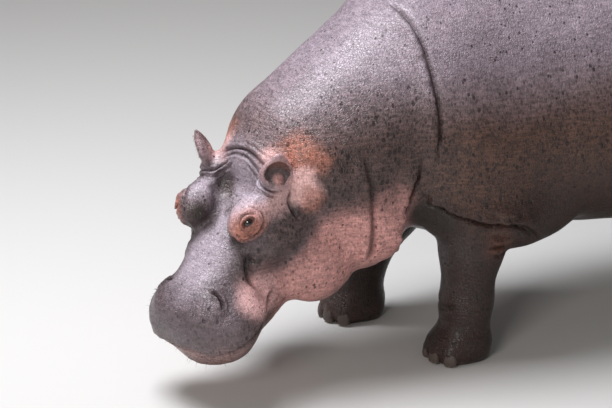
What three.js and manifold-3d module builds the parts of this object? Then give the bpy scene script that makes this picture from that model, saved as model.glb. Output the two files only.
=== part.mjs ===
// A life-size common hippopotamus, standing with its head lowered to drink.
// Millimetres: +X is the animal's left, -Y the way it faces, +Z up, and the soles stand on Z = 0.
//
// The flesh is one smooth body: named masses, each a rounded lump or a tapered limb, that melt into
// one another over a stated blend. Every node starts as a capsule laid along the inside of its piece,
// whose vertices are pushed out to the surface of that body, and manifold-3d parts the nodes.
import * as THREE from "three";
import { mergeVertices } from "three/addons/utils/BufferGeometryUtils.js";
import Module from "manifold-3d";

const wasm = await Module();
wasm.setup();

// ---------------------------------------------------------------- driving dimensions
const GAP = 0.4; // the parting cut between two nodes
const BACK = 1385; // height of the back
const BELLY = 405; // height of the belly's lowest line
const HALF_GIRTH = 460; // half the barrel's width
const FORE = { x: 262, y: -515 }; // where a foreleg leaves the trunk
const HIND = { x: 250, y: 790 }; // where a hind leg leaves the trunk
const STRIDE = {
  // how far each foot stands behind its shoulder or hip
  foreleg_left: 10,
  foreleg_right: -185,
  hindleg_left: 95,
  hindleg_right: -70,
};
const LEG_TOP = 385; // height of the cut between a leg and the trunk
const STUMP = { top: 110, foot: 178 }; // how far round a leg's middle line its top reaches in the trunk
const KNEE = 215; // height of the wrist and of the hock
const ANKLE = 135; // height at which a foot starts
const TOES = 4;
const TOE_FAN = 100; // degrees between the outer and the inner toe
const HEAD_AT = [92, -1197, 818]; // the poll, between the ears
const HEAD_PITCH = 36; // degrees: the nose points down
const HEAD_YAW = 25; // degrees: the nose is turned to the animal's left
const HEAD_ROLL = -1; // degrees: the left ear is a little higher
const BROW_AT = [123, -298, 36]; // the middle of the left brow, in the head's frame
const EYE = { way: [0.72, -0.42, 0.55], radius: 26, proud: 7 }; // the left eye, from the brow's middle
const EAR = { at: [156, -144, 66], length: 128, width: 120, thick: 48 }; // the left ear, from its root
const EAR_AXIS = [0.4, 0.34, 0.85]; // from the left ear's root to its tip
const EAR_MOUTH = [0.75, -0.62, 0.08]; // the way that the left ear's cup opens
const HIP_HEIGHT = 680; // height at which a leg leaves the trunk
const ELBOW_HEIGHT = 440; // height of a foreleg's elbow
const STIFLE_HEIGHT = 500; // height of a hind leg's knee
const NAIL = { wide: 23, deep: 17, high: 26, ahead: 24, height: 28 }; // a toe's nail
const SOLE = 0; // the floor

// the lines, inside each piece, from which its vertices are pushed out
const TRUNK_LINE = [
  [0, -320, 890],
  [0, 660, 900],
];
const HEAD_LINE = [
  [0, 60, -150],
  [0, -575, -165],
]; // in the head's frame
const NECK_LINE = { from: [20, -600, 930], to: [0, -20, -160] }; // to: in the head's frame
const LEG_LINE = { stump: 620, top: 460, foot: 150, sole: 50 }; // heights

const rad = THREE.MathUtils.degToRad;
const SIDES = { left: 1, right: -1 };

// ---------------------------------------------------------------- the body as a field
// A field gives the distance from a point to a surface: negative inside, in millimetres.

/** A rounded lump. square is 2 for an ellipsoid, and more for a boxier one. */
function lump(at, size, { square = 2, turn = [0, 0, 0] } = {}) {
  const rotation = new THREE.Euler(...turn.map(rad), "ZXY");
  const toLocal = new THREE.Matrix4()
    .compose(
      new THREE.Vector3(...at),
      new THREE.Quaternion().setFromEuler(rotation),
      new THREE.Vector3(1, 1, 1),
    )
    .invert();
  const q = new THREE.Vector3();
  return (p) => {
    q.copy(p).applyMatrix4(toLocal);
    const v = [Math.abs(q.x) / size[0], Math.abs(q.y) / size[1], Math.abs(q.z) / size[2]];
    const f = Math.max(1e-6, (v[0] ** square + v[1] ** square + v[2] ** square) ** (1 / square));
    const slope = v.map((c, i) => (c / f) ** (square - 1) / size[i]);
    return (f - 1) / Math.hypot(...slope);
  };
}

/** A limb that tapers from one round end to the other. */
function limb(from, to, fromRadius, toRadius) {
  const a = new THREE.Vector3(...from);
  const along = new THREE.Vector3(...to).sub(a);
  const q = new THREE.Vector3();
  return (p) => {
    q.copy(p).sub(a);
    const t = THREE.MathUtils.clamp(q.dot(along) / along.lengthSq(), 0, 1);
    return q.addScaledVector(along, -t).length() - THREE.MathUtils.lerp(fromRadius, toRadius, t);
  };
}

/** Several fields, each melting into those before it over its own blend. */
function flesh(masses) {
  return (p) => {
    let d = Infinity;
    for (const [field, blend] of masses) {
      const other = field(p);
      const overlap = Math.max(blend - Math.abs(d - other), 0);
      d = Math.min(d, other) - (d === Infinity ? 0 : (overlap * overlap) / (4 * blend));
    }
    return d;
  };
}

/** The same mass on both sides, to be spread into a list of masses. */
function pair([x, y, z], size, blend, { square = 2, turn = [0, 0, 0] } = {}) {
  return Object.values(SIDES).map((s) => [
    lump([s * x, y, z], size, { square, turn: [turn[0], s * turn[1], s * turn[2]] }),
    blend,
  ]);
}

/** What lies inside both fields. */
const within = (one, other) => (p) => Math.max(one(p), other(p));

/** A field kept in a turned and moved frame. */
function placed(field, matrix) {
  const toLocal = matrix.clone().invert();
  const q = new THREE.Vector3();
  return (p) => field(q.copy(p).applyMatrix4(toLocal));
}

const MIDDLE = (BACK + BELLY) / 2;
const TRUNK = [
  [lump([0, 190, MIDDLE + 12], [HALF_GIRTH - 10, 950, BACK - MIDDLE - 12], { square: 2.25 })], // barrel
  [lump([0, 180, BELLY + 340], [HALF_GIRTH - 22, 600, 332]), 120], // belly
  [lump([0, -450, 850], [385, 460, 442]), 130], // chest
  [lump([0, -420, BACK - 268], [285, 440, 262]), 130], // withers
  [lump([0, 800, 935], [380, 440, 412]), 120], // rump
  ...pair([FORE.x, FORE.y + 10, 775], [150, 215, 335], 90, { turn: [-6, 0, 0] }), // shoulders
  ...pair([288, -330, 555], [112, 250, 145], 70), // skin behind the elbows
  ...pair([HIND.x, HIND.y - 20, 760], [168, 300, 350], 90, { turn: [10, 0, 0] }), // haunches
];
const NECK = [
  [limb([0, -620, 955], [50, -1020, 779], 398, 321)],
  [lump([100, -885, 595], [238, 185, 240]), 80], // throat
];
const HEAD = [
  [lump([0, -110, -86], [196, 172, 100], { square: 2.8 })], // cranium
  [lump([0, -250, -95], [152, 205, 102], { square: 2.6 }), 60], // forehead
  [lump([0, -445, -134], [136, 250, 100], { square: 2.4, turn: [-3, 0, 0] }), 70], // bridge of the snout
  [lump([0, -614, -178], [192, 112, 104], { square: 2.1 }), 60], // muzzle
  ...pair([122, -576, -205], [104, 128, 98], 60), // lips over the tusks
  ...pair([92, -610, -100], [58, 66, 38], 35), // nostril pads
  ...pair([138, -180, -100], [92, 180, 105], 60), // cheekbones
  [lump([0, -374, -286], [168, 342, 112]), 70], // lower jaw
  [lump([0, -612, -282], [165, 95, 75]), 60], // chin
  ...pair([160, -148, -318], [106, 190, 180], 60), // jowls
  [lump([0, 40, -140], [190, 165, 135]), 90], // back of the skull
  [lump([0, -34, 28], [162, 122, 110], { square: 2.2 }), 60], // poll
];
const BROW = [
  ...pair([132, -208, 26], [54, 112, 50], 50), // ridge from the brow to the ear
  ...pair(BROW_AT, [64, 86, 68], 40, { turn: [0, 12, 0] }), // brows over the eyes
  ...pair([146, -136, 44], [56, 56, 50], 35), // ear roots
];

const headPose = new THREE.Matrix4().compose(
  new THREE.Vector3(...HEAD_AT),
  new THREE.Quaternion().setFromEuler(
    new THREE.Euler(rad(HEAD_PITCH), rad(HEAD_ROLL), rad(HEAD_YAW), "ZXY"),
  ),
  new THREE.Vector3(1, 1, 1),
);
const inHead = (point) => new THREE.Vector3(...point).applyMatrix4(headPose).toArray();
const headWay = (way) => new THREE.Vector3(...way).transformDirection(headPose).toArray();
const headField = placed(flesh([...HEAD, ...BROW]), headPose);

// ---------------------------------------------------------------- making solids
const STEP = 10; // how far a vertex moves out between two looks at the field
const REACH = 900; // the furthest that any surface lies from its piece's middle line

function solidOf(geometry) {
  const bare = new THREE.BufferGeometry();
  bare.setAttribute("position", geometry.getAttribute("position"));
  if (geometry.index) bare.setIndex(geometry.index);
  const merged = mergeVertices(bare, 1e-3);
  return new wasm.Manifold(
    new wasm.Mesh({
      numProp: 3,
      vertProperties: new Float32Array(merged.getAttribute("position").array),
      triVerts: new Uint32Array(merged.index.array),
    }),
  );
}

function geometryOf(solid) {
  const { vertProperties, triVerts, numProp } = solid.getMesh();
  const positions = new Float32Array((vertProperties.length / numProp) * 3);
  for (let i = 0; i < positions.length / 3; i++) {
    positions.set(vertProperties.subarray(i * numProp, i * numProp + 3), i * 3);
  }
  const geometry = new THREE.BufferGeometry();
  geometry.setAttribute("position", new THREE.BufferAttribute(positions, 3));
  geometry.setIndex(new THREE.BufferAttribute(triVerts, 1));
  geometry.computeVertexNormals();
  return geometry;
}

/** A capsule from one point to another whose every vertex is pushed out to where the field is `level`. */
function inflate(from, to, field, { around, rings, caps, level = 0 }) {
  const a = new THREE.Vector3(...from);
  const along = new THREE.Vector3(...to).sub(a);
  const length = along.length();
  const capsule = new THREE.CapsuleGeometry(1, length, caps, around, rings);
  const turn = new THREE.Quaternion().setFromUnitVectors(
    new THREE.Vector3(0, 1, 0),
    along.clone().normalize(),
  );
  const middle = a.clone().addScaledVector(along, 0.5);
  const position = capsule.getAttribute("position");
  const vertex = new THREE.Vector3();
  const root = new THREE.Vector3();
  const way = new THREE.Vector3();
  for (let i = 0; i < position.count; i++) {
    vertex.fromBufferAttribute(position, i);
    root.set(0, THREE.MathUtils.clamp(vertex.y, -length / 2, length / 2), 0);
    way.copy(vertex).sub(root).normalize().applyQuaternion(turn);
    root.applyQuaternion(turn).add(middle);
    const at = (t) => field(vertex.copy(root).addScaledVector(way, t)) - level;
    let out = STEP;
    while (at(out) < 0 && out < REACH) out += STEP;
    let inside = out - STEP;
    for (let n = 0; n < 16; n++) {
      const half = (inside + out) / 2;
      if (at(half) < 0) inside = half;
      else out = half;
    }
    vertex.copy(root).addScaledVector(way, inside);
    position.setXYZ(i, vertex.x, vertex.y, vertex.z);
  }
  return solidOf(capsule);
}

const HUGE = 5000;
/** Half of space: all that lies behind a point, seen along a direction. */
function behind(point, direction) {
  const box = new THREE.BoxGeometry(HUGE, HUGE, HUGE);
  box.translate(0, 0, -HUGE / 2);
  const turn = new THREE.Quaternion().setFromUnitVectors(
    new THREE.Vector3(0, 0, 1),
    new THREE.Vector3(...direction).normalize(),
  );
  box.applyQuaternion(turn).translate(...point);
  return solidOf(box);
}

/** The two sides of a flat cut through a solid, a gap apart: [behind it, ahead of it]. */
function part(solid, point, direction) {
  const way = new THREE.Vector3(...direction).normalize().multiplyScalar(GAP / 2);
  const middle = new THREE.Vector3(...point);
  return [
    solid.intersect(behind(middle.clone().sub(way).toArray(), direction)),
    solid.intersect(behind(middle.clone().add(way).toArray(), direction.map((c) => -c))),
  ];
}

// ---------------------------------------------------------------- materials
const hide = new THREE.MeshStandardMaterial({ color: 0x7d6c71, roughness: 0.5, metalness: 0 });
const face = new THREE.MeshStandardMaterial({ color: 0x8d7f88, roughness: 0.45, metalness: 0 });
const eyeball = new THREE.MeshStandardMaterial({ color: 0x22140e, roughness: 0.08, metalness: 0 });

const SLIVER = 0.15; // edges and facets thinner than this are merged away

const hippo = new THREE.Group();
function node(name, solid, material) {
  const mesh = new THREE.Mesh(geometryOf(solid.asOriginal().simplify(SLIVER)), material);
  mesh.name = name;
  hippo.add(mesh);
}

// ---------------------------------------------------------------- legs
/** One leg's masses and the points that its pieces are built on. */
function legPlan(name) {
  const side = SIDES[name.split("_")[1]];
  const fore = name.startsWith("fore");
  const hip = fore ? FORE : HIND;
  const x = side * hip.x;
  const y = hip.y + STRIDE[name];
  const elbow = fore
    ? [x, hip.y + 30 + STRIDE[name] * 0.3, ELBOW_HEIGHT]
    : [x, hip.y - 30 + STRIDE[name] * 0.2, STIFLE_HEIGHT];
  const knee = fore ? [x, y + 4, KNEE] : [x, y + 34, KNEE + 25];
  const ankle = fore ? [x, y - 4, 95] : [x, y + 18, 92];
  const foot = fore ? [x, y - 24, 48] : [x, y + 2, 48];
  const masses = [
    [limb([x, hip.y, HIP_HEIGHT], elbow, fore ? 128 : 185, fore ? 112 : 130)],
    [limb(elbow, knee, fore ? 110 : 122, fore ? 92 : 84), 60],
    [limb(knee, ankle, fore ? 92 : 84, fore ? 96 : 88), 40],
    [lump(foot, fore ? [108, 112, 72] : [98, 106, 70], { square: 2.6 }), 40],
  ];
  const reach = fore ? 94 : 86;
  const toes = Array.from({ length: TOES }, (_, i) => {
    const angle = rad(-90 + TOE_FAN * (i / (TOES - 1) - 0.5));
    return [foot[0] + reach * Math.cos(angle), foot[1] + reach * Math.sin(angle), 38];
  });
  for (const toe of toes) masses.push([lump(toe, [32, 38, 42]), 16]);
  return { name, hip, x, elbow, knee, foot, toes, masses };
}
const legs = Object.keys(STRIDE).map(legPlan);

// ---------------------------------------------------------------- the whole body
const bodyField = flesh([
  [flesh(TRUNK)],
  ...legs.map(({ masses }) => [flesh(masses), 22]),
  [flesh(NECK), 80],
  [headField, 36],
]);
const aboveLegTop = (p) => LEG_TOP + GAP / 2 - p.z;
const NECK_CUT = { at: [0, -722, 900], way: [0.12, -1, -0.05] };
const HEAD_CUT = { at: inHead([0, 62, -150]), way: headWay([0, -1, 0.1]) };
const MOUTH_CUT = { at: inHead([0, -560, -226]), way: headWay([0, 0.1, 1]) };
const MOUTH_CORNER = { at: inHead([0, -398, -226]), way: headWay([0, 1, 0.25]) };

/** The trunk with the stumps of the legs, its whole surface `level` outside the flesh. */
function trunkSolid(level = 0) {
  let solid = inflate(...TRUNK_LINE, within(bodyField, aboveLegTop), {
    around: 30,
    rings: 12,
    caps: 5,
    level,
  });
  for (const { hip, x, elbow } of legs) {
    const top = [x, hip.y, LEG_LINE.stump];
    const foot = [x, elbow[1], LEG_TOP];
    const stump = within(bodyField, limb(top, foot, STUMP.top, STUMP.foot));
    const root = inflate(top, [x, elbow[1], LEG_LINE.top], within(stump, aboveLegTop), {
      around: 14,
      rings: 2,
      caps: 2,
      level,
    });
    solid = solid.add(root);
  }
  return solid;
}

/** The head with its brows, its whole surface `level` outside the flesh. */
function headSolid(level = 0) {
  let solid = inflate(...HEAD_LINE.map(inHead), bodyField, {
    around: 28,
    rings: 16,
    caps: 4,
    level,
  });
  for (const side of Object.values(SIDES)) {
    const near = placed(lump([side * BROW_AT[0], BROW_AT[1], BROW_AT[2]], [84, 104, 88]), headPose);
    const brow = inflate(
      inHead([side * (BROW_AT[0] - 11), BROW_AT[1] + 26, 4]),
      inHead([side * (BROW_AT[0] - 7), BROW_AT[1] - 26, 8]),
      within(headField, near),
      { around: 12, rings: 2, caps: 3, level },
    );
    solid = solid.add(brow);
  }
  return solid;
}

const whole = trunkSolid();
node("trunk", part(whole, NECK_CUT.at, NECK_CUT.way)[0], hide);

const neck = inflate(NECK_LINE.from, inHead(NECK_LINE.to), bodyField, {
  around: 26,
  rings: 8,
  caps: 3,
});
node("neck", part(part(neck, NECK_CUT.at, NECK_CUT.way)[1], HEAD_CUT.at, HEAD_CUT.way)[0], hide);

// ---------------------------------------------------------------- head and lower jaw
/** All that lies below the line of the mouth and ahead of its corner, moved back and up by `grow`. */
function jawSpace(grow) {
  const faces = [MOUTH_CUT, MOUTH_CORNER].map(({ at, way }) => {
    const moved = new THREE.Vector3(...at).addScaledVector(new THREE.Vector3(...way).normalize(), grow);
    return behind(moved.toArray(), way);
  });
  return faces[0].intersect(faces[1]);
}

/** An eyeball's place and size: it stands a little proud of the brow around it. */
function eyePlan(side) {
  const from = new THREE.Vector3(...inHead([side * BROW_AT[0], BROW_AT[1], BROW_AT[2]]));
  const way = new THREE.Vector3(...headWay([side * EYE.way[0], EYE.way[1], EYE.way[2]]));
  const p = new THREE.Vector3();
  let out = 0;
  while (headField(p.copy(from).addScaledVector(way, out)) < 0) out += 0.5;
  return from.addScaledVector(way, out + EYE.proud - EYE.radius);
}
function ball(centre, radius, around, down) {
  return solidOf(new THREE.SphereGeometry(radius, around, down).translate(...centre.toArray()));
}

let head = part(headSolid(), HEAD_CUT.at, HEAD_CUT.way)[1];
for (const [name, side] of Object.entries(SIDES)) {
  const centre = eyePlan(side);
  node(`eye_${name}`, ball(centre, EYE.radius, 14, 8), eyeball);
  head = head.subtract(ball(centre, EYE.radius + 2 * GAP, 14, 8));
}
node("head", head.subtract(jawSpace(GAP / 2)), face);
node("lower_jaw", head.intersect(jawSpace(-GAP / 2)), face);

// ---------------------------------------------------------------- ears
/** The frame of an ear: its Z runs from the root to the tip and its cup opens along -Y. */
function earPose(side) {
  const z = new THREE.Vector3(side * EAR_AXIS[0], EAR_AXIS[1], EAR_AXIS[2]).normalize();
  const mouth = new THREE.Vector3(side * EAR_MOUTH[0], EAR_MOUTH[1], EAR_MOUTH[2]);
  const y = mouth.addScaledVector(z, -mouth.dot(z)).normalize().negate();
  const x = new THREE.Vector3().crossVectors(y, z);
  const pose = new THREE.Matrix4().makeBasis(x, y, z);
  return pose.setPosition(side * EAR.at[0], EAR.at[1], EAR.at[2]).premultiply(headPose);
}
const earShell = flesh([
  [lump([0, 4, EAR.length * 0.4], [EAR.width / 2, EAR.thick / 2, EAR.length * 0.46])], // broad base
  [lump([0, 9, EAR.length * 0.74], [EAR.width * 0.24, EAR.thick * 0.27, EAR.length * 0.35]), 26], // tip
]);
const earCup = lump(
  [0, -EAR.thick * 0.5, EAR.length * 0.5],
  [EAR.width * 0.35, EAR.thick * 0.6, EAR.length * 0.39],
);
const headBlock = headSolid(GAP);
for (const [name, side] of Object.entries(SIDES)) {
  const pose = earPose(side);
  const field = placed((p) => Math.max(earShell(p), -earCup(p)), pose);
  const inEar = (point) => new THREE.Vector3(...point).applyMatrix4(pose).toArray();
  const ear = inflate(inEar([0, 14, 0]), inEar([0, 16, EAR.length * 0.7]), field, {
    around: 14,
    rings: 4,
    caps: 2,
  });
  node(`ear_${name}`, ear.subtract(headBlock), hide);
}

// ---------------------------------------------------------------- tail
const TAIL = [
  [0, 1165, 1075],
  [0, 1258, 930],
  [0, 1275, 690],
]; // down the middle of the tail
const tailField = flesh([
  [limb(TAIL[0], TAIL[1], 46, 30)],
  [limb(TAIL[1], TAIL[2], 30, 15), 20],
]);
const tail = inflate([0, 1238, 990], TAIL[2], tailField, { around: 10, rings: 6, caps: 2 });
node("tail", tail.subtract(trunkSolid(GAP)), hide);

// ---------------------------------------------------------------- legs, and feet with their nails
for (const { name, elbow, knee, foot, toes, masses } of legs) {
  const field = flesh(masses);
  const limbSolid = inflate([elbow[0], elbow[1], LEG_LINE.top], [knee[0], knee[1], LEG_LINE.foot], field, {
    around: 14,
    rings: 5,
    caps: 2,
  });
  const shank = part(limbSolid, [0, 0, LEG_TOP], [0, 0, 1])[0];
  node(name, part(shank, [0, 0, ANKLE], [0, 0, 1])[1], hide);

  const heel = [foot[0], foot[1] + 10, LEG_LINE.foot];
  let paw = inflate(heel, [foot[0], foot[1] - 10, LEG_LINE.sole], field, {
    around: 16,
    rings: 2,
    caps: 3,
  });
  paw = part(paw, [0, 0, ANKLE], [0, 0, 1])[0].intersect(behind([0, 0, SOLE], [0, 0, -1]));
  for (const toe of toes) {
    const heading = Math.atan2(toe[1] - foot[1], toe[0] - foot[0]);
    const nail = new THREE.SphereGeometry(1, 12, 6)
      .scale(NAIL.deep, NAIL.wide, NAIL.high)
      .rotateZ(heading)
      .translate(
        toe[0] + NAIL.ahead * Math.cos(heading),
        toe[1] + NAIL.ahead * Math.sin(heading),
        NAIL.height,
      );
    paw = paw.add(solidOf(nail));
  }
  node(name.replace("leg", "foot"), paw, hide);
}

// ---------------------------------------------------------------- the origin: bottom centre of the box
const middle = new THREE.Box3().setFromObject(hippo).getCenter(new THREE.Vector3());
hippo.position.set(-middle.x, -middle.y, 0);
const standing = new THREE.Group();
standing.add(hippo);

export default standing;
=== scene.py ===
import logging
import math
import random
from dataclasses import dataclass, field
from enum import Enum
from typing import Protocol, Sequence

import bmesh
import bpy
import numpy as np
from mathutils import Matrix, Vector, noise


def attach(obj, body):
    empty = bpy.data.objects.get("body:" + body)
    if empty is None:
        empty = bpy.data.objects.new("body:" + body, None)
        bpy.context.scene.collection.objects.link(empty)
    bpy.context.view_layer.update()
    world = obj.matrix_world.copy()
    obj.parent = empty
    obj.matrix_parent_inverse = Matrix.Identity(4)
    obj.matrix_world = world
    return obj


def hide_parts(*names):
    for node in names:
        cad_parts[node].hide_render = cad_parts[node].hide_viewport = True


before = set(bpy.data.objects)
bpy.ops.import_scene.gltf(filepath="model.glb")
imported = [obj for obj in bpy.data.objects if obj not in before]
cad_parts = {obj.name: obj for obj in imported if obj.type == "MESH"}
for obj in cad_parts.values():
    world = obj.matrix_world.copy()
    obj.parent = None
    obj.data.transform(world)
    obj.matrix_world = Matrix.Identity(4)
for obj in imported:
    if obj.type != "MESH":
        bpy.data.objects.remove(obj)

log = logging.getLogger("hippopotamus")

Point = tuple[float, float, float]
ROW_SHIFT = Vector((0.0, 199.86, 0.0))  # the row's origin, in the animal's frame, is this far ahead
TO_ROW = Matrix.Scale(0.001, 4) @ Matrix.Translation(ROW_SHIFT)
FLESH_NODES = (
    "trunk neck head lower_jaw ear_left ear_right tail foreleg_left foreleg_right forefoot_left "
    "forefoot_right hindleg_left hindleg_right hindfoot_left hindfoot_right"
).split()
HIDDEN_NODES = {"ear_left", "ear_right"}  # the hide makes its own ears


class Side(Enum):
    """The animal's own left and right."""

    LEFT = 1
    RIGHT = -1


# ------------------------------------------------------------------------------------------ fields of flesh
class Field(Protocol):
    """A shape as the distance from a point to its surface, negative inside."""

    def distance(self, p: np.ndarray) -> np.ndarray:
        """The distance of each point."""


def turned(turn: Sequence[float]) -> Matrix:
    """A turn of (x, y, z) degrees: about Y first, then X, then Z."""
    x, y, z = (math.radians(a) for a in turn)
    return Matrix.Rotation(z, 3, "Z") @ Matrix.Rotation(x, 3, "X") @ Matrix.Rotation(y, 3, "Y")


def smooth(low: float, high: float, value: np.ndarray) -> np.ndarray:
    """A soft step from 0 at low to 1 at high."""
    t = np.clip((value - low) / (high - low), 0, 1)
    return t * t * (3 - 2 * t)


@dataclass(frozen=True)
class Lump:
    """A rounded mass: an ellipsoid where square is 2, and boxier above that."""

    at: Point
    size: Point
    square: float = 2.0
    turn: Point = (0, 0, 0)

    def distance(self, p: np.ndarray) -> np.ndarray:
        """The distance of each point from the lump's surface.

        Args:
            p: Points as rows.

        Returns:
            One distance for each point.
        """
        q = np.abs((p - np.array(self.at)) @ np.array(turned(self.turn))) / np.array(self.size)
        if self.square == 2:
            f = np.maximum(np.linalg.norm(q, axis=1), 1e-6)
            slope = q / f[:, None]
        else:
            f = np.maximum(np.power(q, self.square).sum(axis=1), 1e-9) ** (1 / self.square)
            slope = np.power(q / f[:, None], self.square - 1)
        return (f - 1) / np.maximum(np.linalg.norm(slope / np.array(self.size), axis=1), 1e-9)


@dataclass(frozen=True)
class Limb:
    """A mass that tapers from one round end to the other."""

    start: Point
    end: Point
    start_radius: float
    end_radius: float

    def distance(self, p: np.ndarray) -> np.ndarray:
        """The distance of each point from the limb's surface."""
        a, along = np.array(self.start), np.array(self.end) - np.array(self.start)
        t = np.clip((p - a) @ along / (along @ along), 0, 1)
        thick = self.start_radius + (self.end_radius - self.start_radius) * t
        return np.linalg.norm(p - a - t[:, None] * along, axis=1) - thick


@dataclass(frozen=True)
class Flesh:
    """Several masses, each melting into those before it over its own blend."""

    masses: tuple[tuple[Field, float], ...]

    def distance(self, p: np.ndarray) -> np.ndarray:
        """The distance of each point from the joined surface."""
        d = self.masses[0][0].distance(p)
        for mass, blend in self.masses[1:]:
            other = mass.distance(p)
            overlap = np.maximum(blend - np.abs(d - other), 0)
            d = np.minimum(d, other) - overlap * overlap / (4 * blend)
        return d


@dataclass(frozen=True)
class Placed:
    """A field kept in a turned and moved frame."""

    inner: Field
    pose: Matrix

    def distance(self, p: np.ndarray) -> np.ndarray:
        """The distance of each point from the placed surface."""
        return self.inner.distance(local(self.pose, p))


@dataclass(frozen=True)
class OnFloor:
    """A field cut off flat at the floor, with a rounded edge."""

    inner: Field
    edge: float = 12.0

    def distance(self, p: np.ndarray) -> np.ndarray:
        """The distance of each point from the cut surface."""
        d, under = self.inner.distance(p), -p[:, 2]
        overlap = np.maximum(self.edge - np.abs(d - under), 0)
        return np.maximum(d, under) + overlap * overlap / (4 * self.edge)


def local(pose: Matrix, p: np.ndarray) -> np.ndarray:
    """Points of the animal's frame, in the frame of a pose."""
    return (p - np.array(pose.translation)) @ np.array(pose.to_3x3())


def placed(pose: Matrix, p: np.ndarray) -> np.ndarray:
    """Points of a pose's frame, in the animal's frame."""
    return p @ np.array(pose.to_3x3()).T + np.array(pose.translation)


def both(at: Point, size: Point, blend: float, turn: Point = (0, 0, 0)) -> list[tuple[Field, float]]:
    """The same lump on the left and on the right."""
    return [
        (Lump((s.value * at[0], at[1], at[2]), size, turn=(turn[0], s.value * turn[1], s.value * turn[2])), blend)
        for s in Side
    ]


# ------------------------------------------------------------------------------------------ the animal's plan
@dataclass(frozen=True)
class HeadPlan:
    """The head's pose, its masses, and where the eyes and ears sit, for the left side."""

    at: Point = (92, -1197, 818)
    pitch: float = 36.0
    yaw: float = 25.0
    roll: float = -1.0
    brow: Point = (123, -298, 36)
    eye_way: Point = (0.72, -0.42, 0.55)
    eye_long: Point = (0.485, 0.874, 0.03)
    eye_radius: float = 26.0
    eye_proud: float = 7.0
    ear_root: Point = (156, -144, 66)
    ear_axis: Point = (0.40, 0.34, 0.85)
    ear_mouth: Point = (0.75, -0.62, 0.08)
    ear_size: Point = (120, 48, 128)

    @property
    def pose(self) -> Matrix:
        """The head's frame in the animal's."""
        return Matrix.Translation(self.at) @ turned((self.pitch, self.roll, self.yaw)).to_4x4()

    def masses(self) -> Flesh:
        """The head's flesh, in its own frame."""
        return Flesh(
            (
                (Lump((0, -110, -86), (196, 172, 100), 2.8), 0),  # cranium
                (Lump((0, -250, -95), (152, 205, 102), 2.6), 60),  # forehead
                (Lump((0, -445, -134), (136, 250, 100), 2.4, (-3, 0, 0)), 70),  # bridge of the snout
                (Lump((0, -614, -178), (192, 112, 104), 2.1), 60),  # muzzle
                *both((122, -576, -205), (104, 128, 98), 60),  # lips over the tusks
                *both((92, -610, -100), (58, 66, 38), 35),  # nostril pads
                *both((138, -180, -100), (92, 180, 105), 60),  # cheekbones
                (Lump((0, -374, -286), (168, 342, 112)), 70),  # lower jaw
                (Lump((0, -612, -282), (165, 95, 75)), 60),  # chin
                *both((160, -148, -318), (106, 190, 180), 60),  # jowls
                (Lump((0, 40, -140), (190, 165, 135)), 90),  # back of the skull
                (Lump((0, -34, 28), (162, 122, 110), 2.2), 60),  # poll
                *both((132, -208, 26), (54, 112, 50), 50),  # ridge from the brow to the ear
                *both(self.brow, (64, 86, 68), 40, (0, 12, 0)),  # brows over the eyes
                *both((146, -136, 44), (56, 56, 50), 35),  # ear roots
            )
        )

    def side_frame(self, side: Side, at: Vector, z_way: Point, other_way: Point, other_is_y: bool) -> Matrix:
        """A frame on one side of the head, in the animal's frame.

        Args:
            side: Which side; x is mirrored for the right.
            at: The frame's origin in the animal's frame.
            z_way: The way of its Z in the head's frame, for the left side.
            other_way: The way that its X, or its -Y, leans in the head's frame.
            other_is_y: True where other_way is for -Y.

        Returns:
            The frame. It is right-handed on both sides.
        """
        turn = self.pose.to_3x3()
        mirror = Vector((side.value, 1, 1))
        z = (turn @ (Vector(z_way) * mirror)).normalized()
        other = turn @ (Vector(other_way) * mirror)
        other = (other - z * other.dot(z)).normalized()
        x, y = ((-other).cross(z), -other) if other_is_y else (other, z.cross(other))
        return Matrix.Translation(at) @ Matrix((x, y, z)).transposed().to_4x4()

    def ear_shell(self) -> "Flesh":
        """An ear without its cup, in its own frame: broad below and narrow at the tip."""
        wide, thick, length = self.ear_size
        base = Lump((0, 4, length * 0.40), (wide / 2, thick / 2, length * 0.46))
        tip = Lump((0, 9, length * 0.74), (wide * 0.24, thick * 0.27, length * 0.35))
        return Flesh(((base, 0), (tip, 26)))

    def ear_cup(self, share: float = 1.0) -> Lump:
        """The hollow of an ear, in its own frame, scooped out to a share of its depth."""
        wide, thick, length = self.ear_size
        return Lump((0, -thick * 0.5, length * 0.52), (wide * 0.405, thick * 0.66 * share, length * 0.42))

    def ear_knob(self, q: np.ndarray) -> np.ndarray:
        """The lump at the bottom of an ear's cup, from 0 to 1, for points in the ear's own frame."""
        far = ((q[:, 0] - 6) / 22) ** 2 + ((q[:, 2] - self.ear_size[2] * 0.27) / 16) ** 2
        far += ((q[:, 0] - 10) / 60) ** 2
        return np.exp(-far) * (self.ear_cup().distance(q) < 3)

    def ear_frame(self, side: Side) -> Matrix:
        """An ear's frame: Z runs from root to tip and the cup opens along -Y."""
        root = self.pose @ (Vector(self.ear_root) * Vector((side.value, 1, 1)))
        return self.side_frame(side, root, self.ear_axis, self.ear_mouth, True)

    def eye_frame(self, side: Side) -> Matrix:
        """An eye's frame: Z looks out of the head and X runs to the rear corner."""
        out = Placed(self.masses(), self.pose)
        start = self.pose @ (Vector(self.brow) * Vector((side.value, 1, 1)))
        way = (self.pose.to_3x3() @ (Vector(self.eye_way) * Vector((side.value, 1, 1)))).normalized()
        steps = np.arange(0, 160, 0.5)
        line = np.array(start) + steps[:, None] * np.array(way)
        reach = float(steps[np.argmax(out.distance(line) >= 0)])
        centre = start + way * (reach + self.eye_proud - self.eye_radius)
        return self.side_frame(side, centre, self.eye_way, self.eye_long, False)


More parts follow.
